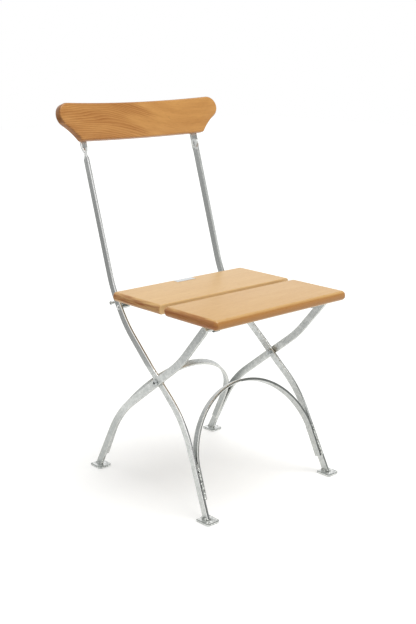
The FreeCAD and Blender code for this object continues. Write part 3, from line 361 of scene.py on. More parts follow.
        # Edges that turn away from the face get the edge colour, painted shade where it is darker than the face and
        # painted light where it is paler; cut ends take up the oil in another way than the planed faces and have
        # their own colour
        facing = add_node(tree, "ShaderNodeSeparateXYZ", {"Vector": coords.outputs["Normal"]})
        flat = add_node(tree, "ShaderNodeMath", {0: facing.outputs[self.face_axis]},
                        operation="ABSOLUTE").outputs[0]
        edges = add_node(tree, "ShaderNodeMapRange", {"Value": flat, 1: FLAT_FACING[0], 2: FLAT_FACING[1],
                                                      3: self.edge_share, 4: 0.0},
                         interpolation_type="SMOOTHSTEP").outputs[0]
        cut = add_node(tree, "ShaderNodeMath", {0: facing.outputs["X"]}, operation="ABSOLUTE").outputs[0]
        if not self.edge_on_ends:
            long = add_node(tree, "ShaderNodeMapRange", {"Value": cut, 1: END_FACING[0], 2: END_FACING[1], 3: 1.0,
                                                         4: 0.0}).outputs[0]
            edges = add_node(tree, "ShaderNodeMath", {0: edges, 1: long}, operation="MULTIPLY").outputs[0]
        # End grain shows the growth layers as long streaks of light and dark, drawn twice as thick as real ones
        layers = add_node(tree, "ShaderNodeTexNoise", {"Vector": sheets, "Scale": per_metre(self.layer_mm),
                                                       "Detail": 2.0})
        turned = add_node(tree, "ShaderNodeMapRange", {"Value": cut, 1: END_FACING[0], 2: END_FACING[1], 3: 0.0,
                                                       4: self.end_share}).outputs[0]
        cut = add_node(tree, "ShaderNodeMath", {0: layers.outputs["Fac"], 1: self.layer_contrast, 2: cut},
                       operation="MULTIPLY_ADD").outputs[0]
        ends = add_node(tree, "ShaderNodeMapRange", {"Value": cut, 1: LAYER_CUT[0], 2: LAYER_CUT[1]}).outputs[0]
        ends = add_node(tree, "ShaderNodeMath", {0: ends, 1: turned}, operation="MULTIPLY").outputs[0]
        covers = [(pore, self.end), (edges, self.edge), (ends, self.end)]
        if self.raw:
            # Undersides are left raw and pale
            under = add_node(tree, "ShaderNodeMapRange", {"Value": facing.outputs["Z"], 1: UNDER_FACING[0],
                                                          2: UNDER_FACING[1], 3: self.raw_share, 4: 0.0}).outputs[0]
            covers.append((under, self.raw))
        for share, colour in covers:
            wood = add_node(tree, "ShaderNodeMix", {0: share, 6: wood, 7: linear(colour)},
                            data_type="RGBA").outputs[2]
        rough = add_node(tree, "ShaderNodeMapRange", {"Value": band, 1: 0.0, 2: 1.0, 3: self.rough_low,
                                                      4: self.rough_high}).outputs[0]
        bump = add_node(tree, "ShaderNodeBump", {"Strength": 0.35, "Distance": self.fibre_depth_mm * MM,
                                                 "Height": fibres.outputs["Fac"]})
        # A thin film of hardened oil brightens the wood at a flat angle
        shader = add_node(tree, "ShaderNodeBsdfPrincipled",
                          {"Base Color": wood, "Roughness": rough, "IOR": 1.5, "Normal": bump.outputs["Normal"],
                           "Coat Weight": self.film, "Coat Roughness": 0.38, "Coat IOR": 1.5})
        tree.links.new(shader.outputs["BSDF"], output.inputs["Surface"])
        return material


@dataclass(frozen=True)
class StudioPaper(Finish):
    """Matt white studio paper: it shows near white to the eye and still holds a soft shadow."""

    colour: str = "#e0e0de"
    lift: float = 0.38

    def make(self) -> bpy.types.Material:
        """Build the paper's material.

        Returns:
            The finished material.
        """
        material, tree, output = self.blank()
        paper = add_node(tree, "ShaderNodeBsdfDiffuse", {"Color": linear(self.colour)})
        glow = add_node(tree, "ShaderNodeMath", {0: seen_rays(tree), 1: self.lift}, operation="MULTIPLY").outputs[0]
        lifted = add_node(tree, "ShaderNodeEmission", {"Color": linear("#ffffff"), "Strength": glow})
        both = add_node(tree, "ShaderNodeAddShader", {0: paper.outputs["BSDF"], 1: lifted.outputs["Emission"]})
        tree.links.new(both.outputs["Shader"], output.inputs["Surface"])
        return material


@dataclass(frozen=True)
class StudioCard(Finish):
    """Matt card outside the picture: bright steel shows it as a soft darker band."""

    colour: str = "#303030"

    def make(self) -> bpy.types.Material:
        """Build the card's material.

        Returns:
            The finished material.
        """
        material, tree, output = self.blank()
        card = add_node(tree, "ShaderNodeBsdfDiffuse", {"Color": linear(self.colour)})
        tree.links.new(card.outputs["BSDF"], output.inputs["Surface"])
        return material


def new_piece(name: str, mesh: bpy.types.Mesh) -> bpy.types.Object:
    """Put a mesh into the scene as an object at the origin.

    Args:
        name: The piece's name.
        mesh: Its mesh, already in place.

    Returns:
        The new object.
    """
    piece = bpy.data.objects.new(name, mesh)
    bpy.context.scene.collection.objects.link(piece)
    return piece


def settle(piece: bpy.types.Object, body: Body, slot: Slot, *nodes: str) -> bpy.types.Object:
    """Make a finished piece ride on its body and hide the CAD nodes that it stands for.

    Args:
        piece: The finished piece.
        body: The body that carries it.
        slot: The record's finish for it; not used.
        nodes: CAD nodes that it stands for.

    Returns:
        The same piece.
    """
    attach(piece, body.value)
    if nodes:
        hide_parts(*nodes)
    LOG.info("piece %s rides on %s", piece.name, body.value)
    return piece


def bake(piece: bpy.types.Object, modifier: bpy.types.Modifier) -> None:
    """Keep what a modifier makes of an object as its plain mesh and remove the modifier.

    Args:
        piece: The object with the modifier.
        modifier: Its only modifier.
    """
    depsgraph = bpy.context.evaluated_depsgraph_get()
    mesh = bpy.data.meshes.new_from_object(piece.evaluated_get(depsgraph))
    piece.modifiers.remove(modifier)
    piece.data = mesh


def softened(node: bpy.types.Object, name: str, edge_mm: float, materials: list[bpy.types.Material],
             steps: int = 2) -> bpy.types.Object:
    """Copy a CAD node with its sharp edges rounded.

    Args:
        node: The CAD node's object, which stays as it is.
        name: The copy's name.
        edge_mm: Width of the rounding, or 0 for none.
        materials: The faces' finish, and the finish of the rounded edges where they differ.
        steps: Faces across the rounding.

    Returns:
        The copy as a new object.
    """
    work = bmesh.new()
    work.from_mesh(node.data)
    bmesh.ops.remove_doubles(work, verts=work.verts, dist=MERGE_MM * MM)
    for face in work.faces:
        face.material_index = 0
    if edge_mm > 0:
        corner = math.radians(CORNER_DEG)
        sharp = [e for e in work.edges if len(e.link_faces) == 2 and e.calc_face_angle(0.0) > corner]
        bmesh.ops.bevel(work, geom=sharp, offset=edge_mm * MM, offset_type="OFFSET", segments=steps, profile=0.5,
                        affect="EDGES", clamp_overlap=False, material=len(materials) - 1)
    mesh = bpy.data.meshes.new(name)
    work.to_mesh(mesh)
    work.free()
    for material in materials:
        mesh.materials.append(material)
    mesh.shade_smooth()
    mesh.set_sharp_from_angle(angle=math.radians(SMOOTH_DEG))
    piece = new_piece(name, mesh)
    if edge_mm > 0:
        # Flat faces keep their own direction, so that only the roundings shade from one face to the next
        modifier = piece.modifiers.new("flat_faces", "WEIGHTED_NORMAL")
        modifier.keep_sharp = True
        bake(piece, modifier)
    return piece


def grown(base: bpy.types.Object, tree: bpy.types.NodeTree, values: dict[str, Any]) -> bpy.types.Object:
    """Run a Geometry Nodes tree on an object and keep the result as its plain mesh.

    Args:
        base: Object with the points or lines that the tree works on.
        tree: The Geometry Nodes tree.
        values: The tree's inputs by name.

    Returns:
        The same object with the grown mesh and no modifier.
    """
    modifier = base.modifiers.new("grow", "NODES")
    modifier.node_group = tree
    for item in tree.interface.items_tree:
        if item.item_type == "SOCKET" and item.in_out == "INPUT" and item.name in values:
            modifier[item.identifier] = values[item.name]
    bake(base, modifier)
    return base


def new_tree(name: str, sockets: dict[str, str]) -> tuple[bpy.types.NodeTree, bpy.types.Node, bpy.types.Node]:
    """Make an empty Geometry Nodes tree with named inputs.

    Args:
        name: The tree's name.
        sockets: Kind of each input by its name.

    Returns:
        The tree, its input node and its output node.
    """
    tree = bpy.data.node_groups.new(name, "GeometryNodeTree")
    tree.interface.new_socket("Geometry", in_out="INPUT", socket_type="NodeSocketGeometry")
    for title, kind in sockets.items():
        tree.interface.new_socket(title, in_out="INPUT", socket_type=kind)
    tree.interface.new_socket("Geometry", in_out="OUTPUT", socket_type="NodeSocketGeometry")
    return tree, add_node(tree, "NodeGroupInput"), add_node(tree, "NodeGroupOutput")


@dataclass
class SteelWork:
    """Bars, hoops, foot plates, rods, pins and pivot hardware: the CAD shapes with softened edges."""

    bar_edge_mm: float = 0.9
    hoop_edge_mm: float = 2.0
    # The left upright has painted highlight and shade of its own, and wider rounded edges
    highlit_upright_edge_mm: float = 1.8
    highlit_upright: str = "back_upright_left"
    foot_edge_mm: float = 1.4
    small_edge_mm: float = 0.8
    plate_edge_mm: float = 0.3
    bars: dict[Body, tuple[str, ...]] = field(default_factory=lambda: {
        Body.BACK_FRAME: ("back_upright_right", "back_upright_left", "front_hoop"),
        Body.REAR_LEGS: ("rear_leg_right", "rear_leg_left", "rear_hoop"),
    })
    rods: dict[Body, tuple[str, ...]] = field(default_factory=lambda: {
        Body.BACK_FRAME: ("front_foot_right", "front_foot_left", "stop_pin_right", "stop_pin_left"),
        Body.REAR_LEGS: ("rear_foot_right", "rear_foot_left", "front_rod"),
        Body.SEAT: ("seat_strap_right", "seat_strap_left", "front_knuckle_right", "front_knuckle_left",
                    "rear_knuckle_right", "rear_knuckle_left", "rear_rod", "rear_rod_heads"),
    })
    hardware: tuple[str, ...] = ("pivot_bolt_right", "pivot_bolt_left", "pivot_washer_right", "pivot_washer_left",
                                 "pivot_nut_right", "pivot_nut_left")
    plate: str = "seat_edge_plate"
    pivot: tuple[float, float] = (-0.04543, 0.2656)
    socket_half: float = 0.0030
    bolt_outside: float = 0.1855

    def darken_socket(self, mesh: bpy.types.Mesh, shaded: bpy.types.Material) -> None:
        """Give the faces inside a bolt's socket their own finish.

        Args:
            mesh: The bolt's mesh.
            shaded: The socket's material.
        """
        mesh.materials.append(shaded)
        for face in mesh.polygons:
            off = math.hypot(face.center.y - self.pivot[0], face.center.z - self.pivot[1])
            if off < self.socket_half and abs(face.center.x) > self.bolt_outside:
                face.material_index = len(mesh.materials) - 1

    def build(self, nodes: dict[str, bpy.types.Object]) -> None:
        """Make and dress every steel piece.

        Args:
            nodes: The CAD nodes by name.
        """
        coat = ZincCoat("hot_dip_galvanised_steel").make()
        # Painted shade: front legs turn darker on their narrow edges near the ground, rear legs on their faces
        legs = {Body.BACK_FRAME: ZincCoat("hot_dip_galvanised_front_bars", painted_shade="#585c5a", painted_shade_mm=95.0,
                                          painted_shade_narrow=0.8).make(),
                Body.REAR_LEGS: ZincCoat("hot_dip_galvanised_rear_bars", painted_shade="#8d918f", painted_shade_mm=130.0,
                                         painted_shade_wide=0.45).make()}
        # Painted shade: the front hoop's front edge and its outside are darker
        front_hoop_shade = ZincCoat("hot_dip_galvanised_front_hoop", painted_shade="#3f4341", painted_shade_mm=300.0, painted_shade_narrow=0.8,
                          painted_shade_wide=0.4, painted_shade_outside_only=True).make()
        # Painted shade: the rear hoop's faces are darker near the ground
        rear_hoop_shade = ZincCoat("hot_dip_galvanised_rear_hoop", painted_shade="#7d8280", painted_shade_mm=230.0,
                            painted_shade_wide=0.5).make()
        # Painted shade: iron under the seat gets a dark grey zinc for the shade that the seat casts on it
        under_seat_shade = ZincCoat("zinc_under_seat_painted_shade", dull="#5f6361", bright="#9a9e9b").make()
        # Painted highlight and shade: foot plates get bright patches on top and darker rims
        foot_highlight = ZincCoat("hot_dip_galvanised_feet", dull="#9a9e9c", bright="#f4f5f3", grit_mm=6.0, grit_share=2.4,
                           rough_low=0.15, rough_high=0.3).make()
        foot_rim_shade = ZincCoat("foot_rims_painted_shade", dull="#6c706e", bright="#a3a7a4").make()
        # Painted highlight: the rounded edges get a brighter, smoother zinc
        edge_highlight = ZincCoat("zinc_edges_painted_highlight", dull="#bfc2bf", bright="#e4e3de", rough_low=0.20,
                          rough_high=0.32).make()
        # Painted shade: the left upright turns darker higher up its narrow front than the other one
        upright_shade = ZincCoat("hot_dip_galvanised_upright_painted_shade", painted_shade="#585c5a", painted_shade_mm=150.0,
                        painted_shade_narrow=0.8).make()
        # Painted highlight: its rounded edges are nearly white, with painted shade on their front near the ground
        upright_edge_highlight = ZincCoat("upright_edges_painted_highlight", dull="#e9e8e4", bright="#ffffff", rough_low=0.15, rough_high=0.25,
                        painted_shade="#585c5a", painted_shade_mm=85.0, painted_shade_narrow=0.8).make()
        # Zinc-plated fasteners are smoother and a little bluer than dipped bar
        plated = ZincCoat("bright_zinc_plate", dull="#9b9f9f", bright="#c6c9c8", crystal_mm=4.0, cloud_mm=12.0,
                          rough_low=0.22, rough_high=0.36, grit_depth_mm=0.04).make()
        for body, names in self.bars.items():
            for name in names:
                skin = {"front_hoop": front_hoop_shade, "rear_hoop": rear_hoop_shade}.get(name, legs[body])
                edge = self.hoop_edge_mm if "hoop" in name else self.bar_edge_mm
                skins = [skin, edge_highlight]
                if name == self.highlit_upright:
                    edge, skins = self.highlit_upright_edge_mm, [upright_shade, upright_edge_highlight]
                piece = softened(nodes[name], name + "_bar", edge, skins, steps=4)
                if name == "front_hoop":
                    # Only the half of the hoop at negative X keeps the painted highlight on its edges
                    for face in piece.data.polygons:
                        if face.center.x > 0:
                            face.material_index = 0
                settle(piece, body, Slot.GALVANISED, name)
        for body, names in self.rods.items():
            for name in names:
                skin, edge = [coat, edge_highlight], self.small_edge_mm
                if "foot" in name:
                    skin, edge = [foot_highlight, foot_rim_shade], self.foot_edge_mm
                elif "strap" in name or "front_knuckle" in name:
                    skin = [under_seat_shade]
                piece = softened(nodes[name], name + "_round", edge, skin)
                settle(piece, body, Slot.GALVANISED, name)
        # Painted shade: the faces inside the bolt's socket get a dark finish for the shade in the deep recess
        shaded = ZincCoat("bolt_socket_painted_shade", dull="#26282a", bright="#44474a", rough_low=0.4,
                          rough_high=0.6).make()
        for name in self.hardware:
            piece = softened(nodes[name], name + "_zinc", self.plate_edge_mm, [plated])
            if "bolt" in name:
                self.darken_socket(piece.data, shaded)
            settle(piece, Body.BACK_FRAME, Slot.ZINC, name)
        # The small plate at the seat's rear is bare, bright and freshly brushed
        brushed = ZincCoat("brushed_bare_plate", dull="#c3c8cb", bright="#e4e7e9", rough_low=0.25, rough_high=0.35,
                           grit_depth_mm=0.02).make()
        piece = softened(nodes[self.plate], self.plate + "_zinc", self.plate_edge_mm, [brushed])
        settle(piece, Body.SEAT, Slot.ZINC, self.plate)


@dataclass
class WeldSeams:
    """Hand-laid weld seams: overlapping beads along the joints of hoops and feet, one mesh for each body."""

    pitch_mm: float = 3.6
    bead_mm: dict[Body, float] = field(default_factory=lambda: {Body.BACK_FRAME: 3.6, Body.REAR_LEGS: 2.0})
    least: tuple[float, float, float] = (0.72, 0.72, 0.75)
    most: tuple[float, float, float] = (1.12, 1.12, 0.95)
    seed: int = 11

    def tree(self) -> bpy.types.NodeTree:
        """Build the tree that lays beads along every line of a mesh.

        Returns:
            The Geometry Nodes tree.
        """
        tree, start, end = new_tree("weld_beads", {"Pitch": "NodeSocketFloat", "Bead radius": "NodeSocketFloat",
                                                   "Seed": "NodeSocketInt", "Finish": "NodeSocketMaterial"})
        line = add_node(tree, "GeometryNodeMeshToCurve", {"Mesh": start.outputs["Geometry"]})
        spots = add_node(tree, "GeometryNodeResampleCurve", {"Curve": line.outputs["Curve"],
                                                             "Length": start.outputs["Pitch"]}, mode="LENGTH")
        bead = add_node(tree, "GeometryNodeMeshIcoSphere", {"Radius": start.outputs["Bead radius"],
                                                            "Subdivisions": 2})
        along = add_node(tree, "GeometryNodeInputTangent")
        turn = add_node(tree, "FunctionNodeAlignRotationToVector", {"Vector": along.outputs["Tangent"]}, axis="Z")
        uneven = add_node(tree, "FunctionNodeRandomValue",
                          {0: self.least, 1: self.most, "Seed": start.outputs["Seed"]}, data_type="FLOAT_VECTOR")
        laid = add_node(tree, "GeometryNodeInstanceOnPoints",
                        {"Points": spots.outputs["Curve"], "Instance": bead.outputs["Mesh"],
                         "Rotation": turn.outputs["Rotation"], "Scale": uneven.outputs[0]})
        real = add_node(tree, "GeometryNodeRealizeInstances", {"Geometry": laid.outputs["Instances"]})
        smooth = add_node(tree, "GeometryNodeSetShadeSmooth", {"Geometry": real.outputs["Geometry"]})
        done = add_node(tree, "GeometryNodeSetMaterial", {"Geometry": smooth.outputs["Geometry"],
                                                          "Material": start.outputs["Finish"]})
        tree.links.new(done.outputs["Geometry"], end.inputs["Geometry"])
        return tree

    def seams(self) -> dict[Body, list[tuple[Vector, Vector]]]:
        """Return the right-hand seam lines of each body, in metres."""
        return {
            Body.BACK_FRAME: [
                (Vector((0.1854, -0.2103, 0.0457)), Vector((0.1809, -0.1800, 0.1117))),
                (Vector((0.1854, -0.1942, 0.0383)), Vector((0.1809, -0.1639, 0.1043))),
                (Vector((0.1882, -0.2270, 0.0056)), Vector((0.1882, -0.2110, 0.0056))),
                (Vector((0.1945, -0.2270, 0.0056)), Vector((0.1945, -0.2110, 0.0056))),
            ],
            Body.REAR_LEGS: [
                (Vector((0.1788, 0.1657, 0.0462)), Vector((0.1788, 0.1232, 0.1242))),
                (Vector((0.1788, 0.1514, 0.0384)), Vector((0.1788, 0.1088, 0.1162))),
                (Vector((0.1791, 0.1700, 0.0056)), Vector((0.1791, 0.1862, 0.0056))),
                (Vector((0.1852, 0.1700, 0.0056)), Vector((0.1852, 0.1862, 0.0056))),
            ],
        }

    def build(self) -> None:
        """Lay the seams of both leg frames."""
        # Weld metal under zinc is lumpy, so it shows as a broken row of light and dark spots
        finishes = {
            Body.BACK_FRAME: ZincCoat("galvanised_front_weld_beads", dull="#121514", bright="#d8dad6",
                                      crystal_mm=5.0, cloud_mm=5.0, grit_mm=3.5, grit_share=3.0, rough_low=0.15,
                                      rough_high=0.4, grit_depth_mm=0.35).make(),
            Body.REAR_LEGS: ZincCoat("galvanised_rear_weld_beads", dull="#8a8e8c", bright="#dcdedb", crystal_mm=4.0,
                                     cloud_mm=7.0, grit_mm=2.0, rough_low=0.22, rough_high=0.5,
                                     grit_depth_mm=0.35).make()}
        tree = self.tree()
        stands_for = {Body.BACK_FRAME: ("front_hoop_welds", "front_foot_welds"),
                      Body.REAR_LEGS: ("rear_hoop_welds", "rear_foot_welds")}
        for body, lines in self.seams().items():
            points: list[Vector] = []
            for first, last in lines:
                for side in (1, -1):
                    points += [Vector((side * p.x, p.y, p.z)) for p in (first, last)]
            mesh = bpy.data.meshes.new(body.value + "_weld_seams")
            mesh.from_pydata(points, [(k, k + 1) for k in range(0, len(points), 2)], [])
            piece = grown(new_piece(body.value + "_weld_seams", mesh), tree,
                          {"Pitch": self.pitch_mm * MM, "Bead radius": self.bead_mm[body] * MM, "Seed": self.seed,
                           "Finish": finishes[body]})
            settle(piece, body, Slot.GALVANISED, *stands_for[body])


@dataclass
class ScrewSet:
    """Round-headed wood screws with a six-lobed recess, seated square on the steel that they hold."""

    name: str
    body: Body
    node: str
    seats: list[tuple[Vector, Vector]]
    head_mm: float = 10.0
    high_mm: float = 2.4
    shank_mm: float = 5.0
    bite_mm: float = 17.0
    recess_mm: float = 2.3
    lobes: int = 6
    lobe_mm: float = 0.35
    sharp_deg: float = 40.0
    seed: int = 5

    def template(self) -> bpy.types.Object:
        """Turn one screw about Z: its seat is at the origin and its tip points along +Z.

        Returns:
            The screw as an object, to be removed after use.
        """
        half, high, shank = self.head_mm / 2, self.high_mm, self.shank_mm / 2
        rings = [(0.01, self.bite_mm), (shank * 0.7, self.bite_mm - 2.5), (shank, self.bite_mm - 5), (shank, 0.0),
                 (half, 0.0), (half, -high * 0.35), (half * 0.86, -high * 0.8), (half * 0.66, -high)]
        count = 36
        work = bmesh.new()
        loops = []
        for radius, z in rings:
            loops.append([work.verts.new((radius * MM * math.cos(math.tau * k / count),
                                          radius * MM * math.sin(math.tau * k / count), z * MM))
                          for k in range(count)])
        for z in (-high, -high * 0.2):
            loop = []
            for k in range(count):
                angle = math.tau * k / count
                radius = (self.recess_mm + self.lobe_mm * math.cos(self.lobes * angle)) * MM
                loop.append(work.verts.new((radius * math.cos(angle), radius * math.sin(angle), z * MM)))
            loops.append(loop)
        for before, after in zip(loops, loops[1:]):
            for k in range(count):
                work.faces.new((before[k], before[(k + 1) % count], after[(k + 1) % count], after[k]))
        work.faces.new(loops[-1])
        work.faces.new(list(reversed(loops[0])))
        bmesh.ops.recalc_face_normals(work, faces=work.faces)
        mesh = bpy.data.meshes.new(self.name + "_template")
        work.to_mesh(mesh)
        work.free()
        mesh.shade_smooth()
        mesh.set_sharp_from_angle(angle=math.radians(self.sharp_deg))
        return new_piece(self.name + "_template", mesh)

    def tree(self) -> bpy.types.NodeTree:
        """Build the tree that sets a screw on every point, each turned by chance about its own axis.

        Returns:
            The Geometry Nodes tree.
        """
        tree, start, end = new_tree(self.name + "_tree", {"Screw": "NodeSocketObject", "Size": "NodeSocketFloat",
                                                          "Seed": "NodeSocketInt", "Finish": "NodeSocketMaterial"})
        drive = add_node(tree, "GeometryNodeInputNamedAttribute", {"Name": "drive"}, data_type="FLOAT_VECTOR")
        aim = add_node(tree, "FunctionNodeAlignRotationToVector", {"Vector": drive.outputs["Attribute"]}, axis="Z")
        chance = add_node(tree, "FunctionNodeRandomValue", {2: 0.0, 3: math.tau, "Seed": start.outputs["Seed"]},
                          data_type="FLOAT")
        spin = add_node(tree, "FunctionNodeAxisAngleToRotation", {"Axis": (0.0, 0.0, 1.0),
                                                                  "Angle": chance.outputs[1]})
        turn = add_node(tree, "FunctionNodeRotateRotation", {"Rotation": aim.outputs["Rotation"],
                                                             "Rotate By": spin.outputs["Rotation"]},
                        rotation_space="LOCAL")
        screw = add_node(tree, "GeometryNodeObjectInfo", {"Object": start.outputs["Screw"]})
        size = add_node(tree, "ShaderNodeCombineXYZ", {k: start.outputs["Size"] for k in ("X", "Y", "Z")})
        placed = add_node(tree, "GeometryNodeInstanceOnPoints",
                          {"Points": start.outputs["Geometry"], "Instance": screw.outputs["Geometry"],
                           "Rotation": turn.outputs["Rotation"], "Scale": size.outputs["Vector"]})
        real = add_node(tree, "GeometryNodeRealizeInstances", {"Geometry": placed.outputs["Instances"]})
        done = add_node(tree, "GeometryNodeSetMaterial", {"Geometry": real.outputs["Geometry"],
                                                          "Material": start.outputs["Finish"]})
        tree.links.new(done.outputs["Geometry"], end.inputs["Geometry"])
        return tree

    def build(self, finish: bpy.types.Material) -> None:
        """Set all screws of this set.

        Args:
            finish: The screws' material.
        """
        mesh = bpy.data.meshes.new(self.name)
        mesh.from_pydata([place for place, _ in self.seats], [], [])
        drive = mesh.attributes.new("drive", "FLOAT_VECTOR", "POINT")
        for spot, (_, direction) in zip(drive.data, self.seats):
            spot.vector = direction
        screw = self.template()
        piece = grown(new_piece(self.name, mesh), self.tree(),
                      {"Screw": screw, "Size": 1.0, "Seed": self.seed, "Finish": finish})
        bpy.data.objects.remove(screw)
        settle(piece, self.body, Slot.ZINC, self.node)


@dataclass
class Fasteners:
    """The eight slat screws from below and the four board screws from behind."""

    strap_half: float = 0.150
    strap_bottom: float = 0.423061
    slat_rows: tuple[float, ...] = (-0.220067, -0.128067, -0.039567, 0.052433)
    upright_half: float = 0.1665
    upright_lean_deg: float = 17.12
    bow_reach: float = 1.573
    board_foot: tuple[float, float] = (0.228613, 0.770)
    board_rows: tuple[float, ...] = (0.020, 0.065)
    bar_thick: float = 0.006

    def board_seats(self) -> list[tuple[Vector, Vector]]:
        """Return place and direction of the screws behind the board."""
        lean = Matrix.Rotation(-math.radians(self.upright_lean_deg), 3, "X")
        turn = math.asin(self.upright_half / self.bow_reach)
        seats = []
        for side in (1, -1):
            inward = lean @ Vector((-side * math.sin(turn), -math.cos(turn), 0.0))
            for high in self.board_rows:
                middle = Vector((side * self.upright_half, *self.board_foot)) + lean @ Vector((0.0, 0.0, high))
                seats.append((middle - inward * (self.bar_thick / 2), inward))
        return seats

    def slat_seats(self) -> list[tuple[Vector, Vector]]:
        """Return place and direction of the screws under the straps."""
        return [(Vector((side * self.strap_half, y, self.strap_bottom)), Vector((0.0, 0.0, 1.0)))
                for y in self.slat_rows for side in (1, -1)]

    def build(self) -> None:
        """Set both kinds of screw."""
        # Screws have a thin bright zinc plating with dark recesses
        finish = ZincCoat("zinc_plated_screws", dull="#a3a6a4", bright="#d2d3cf", crystal_mm=3.0, cloud_mm=9.0,
                          rough_low=0.22, rough_high=0.36, grit_depth_mm=0.03).make()
        ScrewSet("slat_screws_under", Body.SEAT, "slat_screws", self.slat_seats()).build(finish)
        ScrewSet("board_screws_behind", Body.BACK_FRAME, "backrest_screws", self.board_seats()).build(finish)


@dataclass
class Woodwork:
    """The two seat slats and the backrest board, each cut from another log."""

    def finishes(self) -> dict[str, tuple[Body, Slot, OiledOak]]:
        """Return body, slot and wood of each board by its CAD node."""
        return {
            "front_slat": (Body.SEAT, Slot.SEAT_OAK,
                           OiledOak("oiled_oak_front_slat", raw="#e6d3b4", shift_mm=(0.0, 5.0, 30.0))),
            # Painted light: the rear slat's long edges are paler than its face, to offset the shade in the gap
            # between the slats, and only its cut ends are dark
            "rear_slat": (Body.SEAT, Slot.SEAT_OAK,
                          OiledOak("oiled_oak_rear_slat", light="#e1b873", dark="#cc9f63", edge="#f0cf98",
                                   edge_share=0.7, edge_on_ends=False, raw="#e6d3b4",
                                   shift_mm=(140.0, 60.0, 80.0))),
            # The board comes from the foot of a bent trunk: level bands on one half that sweep down to a plain end
            "backrest_board": (Body.BACK_FRAME, Slot.BACK_OAK,
                               OiledOak("oiled_oak_backrest", light="#e3a960", dark="#ac6c2b", edge="#a0651f",
                                        edge_share=0.75, end="#7c480f", end_share=0.75, face_axis="Y",
                                        drift_share=0.05, ring_mm=5.0, ring_share=0.55, ring_wander=13.0,
                                        ring_fade=0.8, streak_share=0.7, fibre_mm=2.6, fibre_share=0.4,
                                        pore_share=0.12, film=0.0, sweep_mm=62.0, shift_mm=(30.0, 0.0, 12.0))),
        }

    def build(self, nodes: dict[str, bpy.types.Object]) -> None:
        """Make and dress the boards.

        Args:
            nodes: The CAD nodes by name.
        """
        for name, (body, slot, oak) in self.finishes().items():
            piece = softened(nodes[name], name + "_oak", 0.0, [oak.make()])
            settle(piece, body, slot, name)


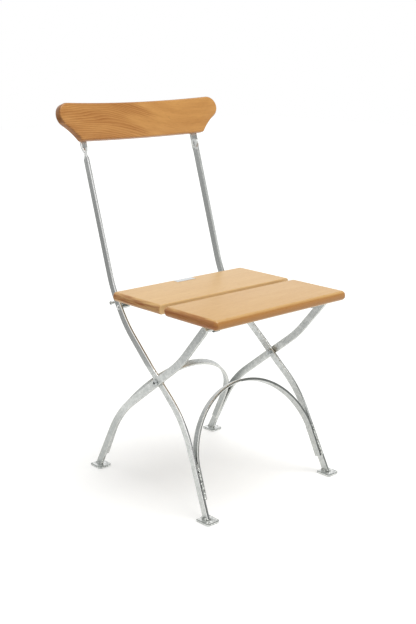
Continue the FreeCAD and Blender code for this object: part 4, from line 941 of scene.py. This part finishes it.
@dataclass
class Studio:
    """White paper floor, even white surroundings, soft lamps and the camera."""

    target: tuple[float, float, float] = (-0.0363, -0.05253, 0.402)
    azimuth_deg: float = -41.96
    elevation_deg: float = 14.75
    distance: float = 2.284
    focal_px: float = 1012.2
    picture_high_px: float = 624.0
    surround: float = 0.6
    floor_reach: float = 9.0
    floor_card_half: float = 1.8
    lamp_place: tuple[float, float, float] = (0.5, -0.8, 3.2)
    lamp_spread_deg: float = 40.0
    lamp_strength: float = 1.6

    def cards(self) -> None:
        """Hang three cards round the chair and lay two on the floor, for bright steel to mirror.

        Neither the camera nor the light meets them.
        """
        middle = Vector((self.target[0], self.target[1], 0.0))
        # Colour, turn, distance, half width, lower edge and upper edge of each standing card
        standing = {"studio_front_card": ("#303030", -38.0, 3.5, 2.6, 0.4, 1.5),
                    "studio_side_card": ("#303030", 43.0, 8.0, 4.0, 3.9, 7.5),
                    "studio_high_card": ("#a0a0a0", 79.0, 3.0, 1.6, 2.4, 4.6)}
        sheets = {}
        for name, (colour, turn_deg, far, half, low, high) in standing.items():
            turn = math.radians(turn_deg)
            foot = middle + Vector((math.sin(turn), -math.cos(turn), 0.0)) * far
            across = Vector((math.cos(turn), math.sin(turn), 0.0)) * half
            sheets[name] = (colour, [foot + across * s + Vector((0.0, 0.0, z))
                                     for s, z in ((1, low), (-1, low), (-1, high), (1, high))])
        near = Vector((-0.85, 0.75, 0.02))
        away = Vector((-0.669, 0.744, 0.0))
        beside = Vector((away.y, -away.x, 0.0)) * self.floor_card_half
        # The floor's cards turn darker with their distance
        for name, colour, first, last in (("studio_near_card", "#9a9a9a", 0.0, 2.2),
                                          ("studio_far_card", "#848484", 2.2, 16.0)):
            sheets[name] = (colour, [near + beside * s + away * f
                                     for s, f in ((1, first), (1, last), (-1, last), (-1, first))])
        for name, (colour, corners) in sheets.items():
            mesh = bpy.data.meshes.new(name)
            mesh.from_pydata(corners, [], [(0, 1, 2, 3)])
            mesh.materials.append(StudioCard("matt_" + name, colour=colour).make())
            card = new_piece(name, mesh)
            card.visible_camera = card.visible_diffuse = card.visible_shadow = False

    def floor(self) -> None:
        """Lay the paper floor."""
        mesh = bpy.data.meshes.new("studio_floor")
        reach = self.floor_reach
        mesh.from_pydata([(-reach, -reach, 0), (reach, -reach, 0), (reach, reach, 0), (-reach, reach, 0)], [],
                         [(0, 1, 2, 3)])
        mesh.materials.append(StudioPaper("matt_white_paper").make())
        new_piece("studio_floor", mesh)

    def surroundings(self) -> None:
        """Set the even white world: full white where it is seen, softer where it only lights."""
        world = bpy.data.worlds.new("white_studio")
        world.use_nodes = True
        tree = world.node_tree
        tree.nodes.clear()
        strength = add_node(tree, "ShaderNodeMapRange", {"Value": seen_rays(tree), 1: 0.0, 2: 1.0, 3: self.surround,
                                                         4: 1.0}).outputs[0]
        back = add_node(tree, "ShaderNodeBackground", {"Color": linear("#ffffff"), "Strength": strength})
        output = add_node(tree, "ShaderNodeOutputWorld")
        tree.links.new(back.outputs["Background"], output.inputs["Surface"])
        bpy.context.scene.world = world

    def lamp(self, name: str, place: tuple[float, float, float], spread_deg: float, strength: float) -> None:
        """Hang one far and soft lamp that looks at the seat and lights the whole floor evenly.

        Args:
            name: The lamp's name.
            place: Where it hangs.
            spread_deg: How wide it looks from the chair.
            strength: Its light on a surface that faces it, in watts for each square metre.
        """
        light = bpy.data.lights.new(name, "SUN")
        light.angle = math.radians(spread_deg)
        light.energy = strength
        lamp = bpy.data.objects.new(name, light)
        lamp.location = place
        lamp.rotation_euler = (Vector(self.target) - Vector(place)).to_track_quat("-Z", "Y").to_euler()
        bpy.context.scene.collection.objects.link(lamp)

    def camera(self) -> None:
        """Place the camera at the photograph's viewing angle."""
        data = bpy.data.cameras.new("camera")
        data.sensor_width = 36.0
        data.lens = self.focal_px / self.picture_high_px * data.sensor_width
        camera = bpy.data.objects.new("camera", data)
        a, e = math.radians(self.azimuth_deg), math.radians(self.elevation_deg)
        back = Vector((math.sin(a) * math.cos(e), -math.cos(a) * math.cos(e), math.sin(e)))
        camera.location = Vector(self.target) + back * self.distance
        camera.rotation_euler = (-back).to_track_quat("-Z", "Y").to_euler()
        bpy.context.scene.collection.objects.link(camera)
        bpy.context.scene.camera = camera

    def build(self) -> None:
        """Set up floor, light and camera."""
        self.floor()
        self.cards()
        self.surroundings()
        self.lamp("key_lamp", self.lamp_place, self.lamp_spread_deg, self.lamp_strength)
        self.camera()
        bpy.context.scene.view_settings.view_transform = "Standard"


def main() -> None:
    """Load the frame and build every sub-assembly in order."""
    logging.basicConfig(level=logging.INFO, format="%(name)s: %(message)s")
    for item in list(bpy.data.objects):
        bpy.data.objects.remove(item)
    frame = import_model()
    nodes = frame["nodes"]
    Studio().build()
    SteelWork().build(nodes)
    WeldSeams().build()
    Fasteners().build()
    Woodwork().build(nodes)
    bpy.context.view_layer.update()


if __name__ == "__main__":
    main()
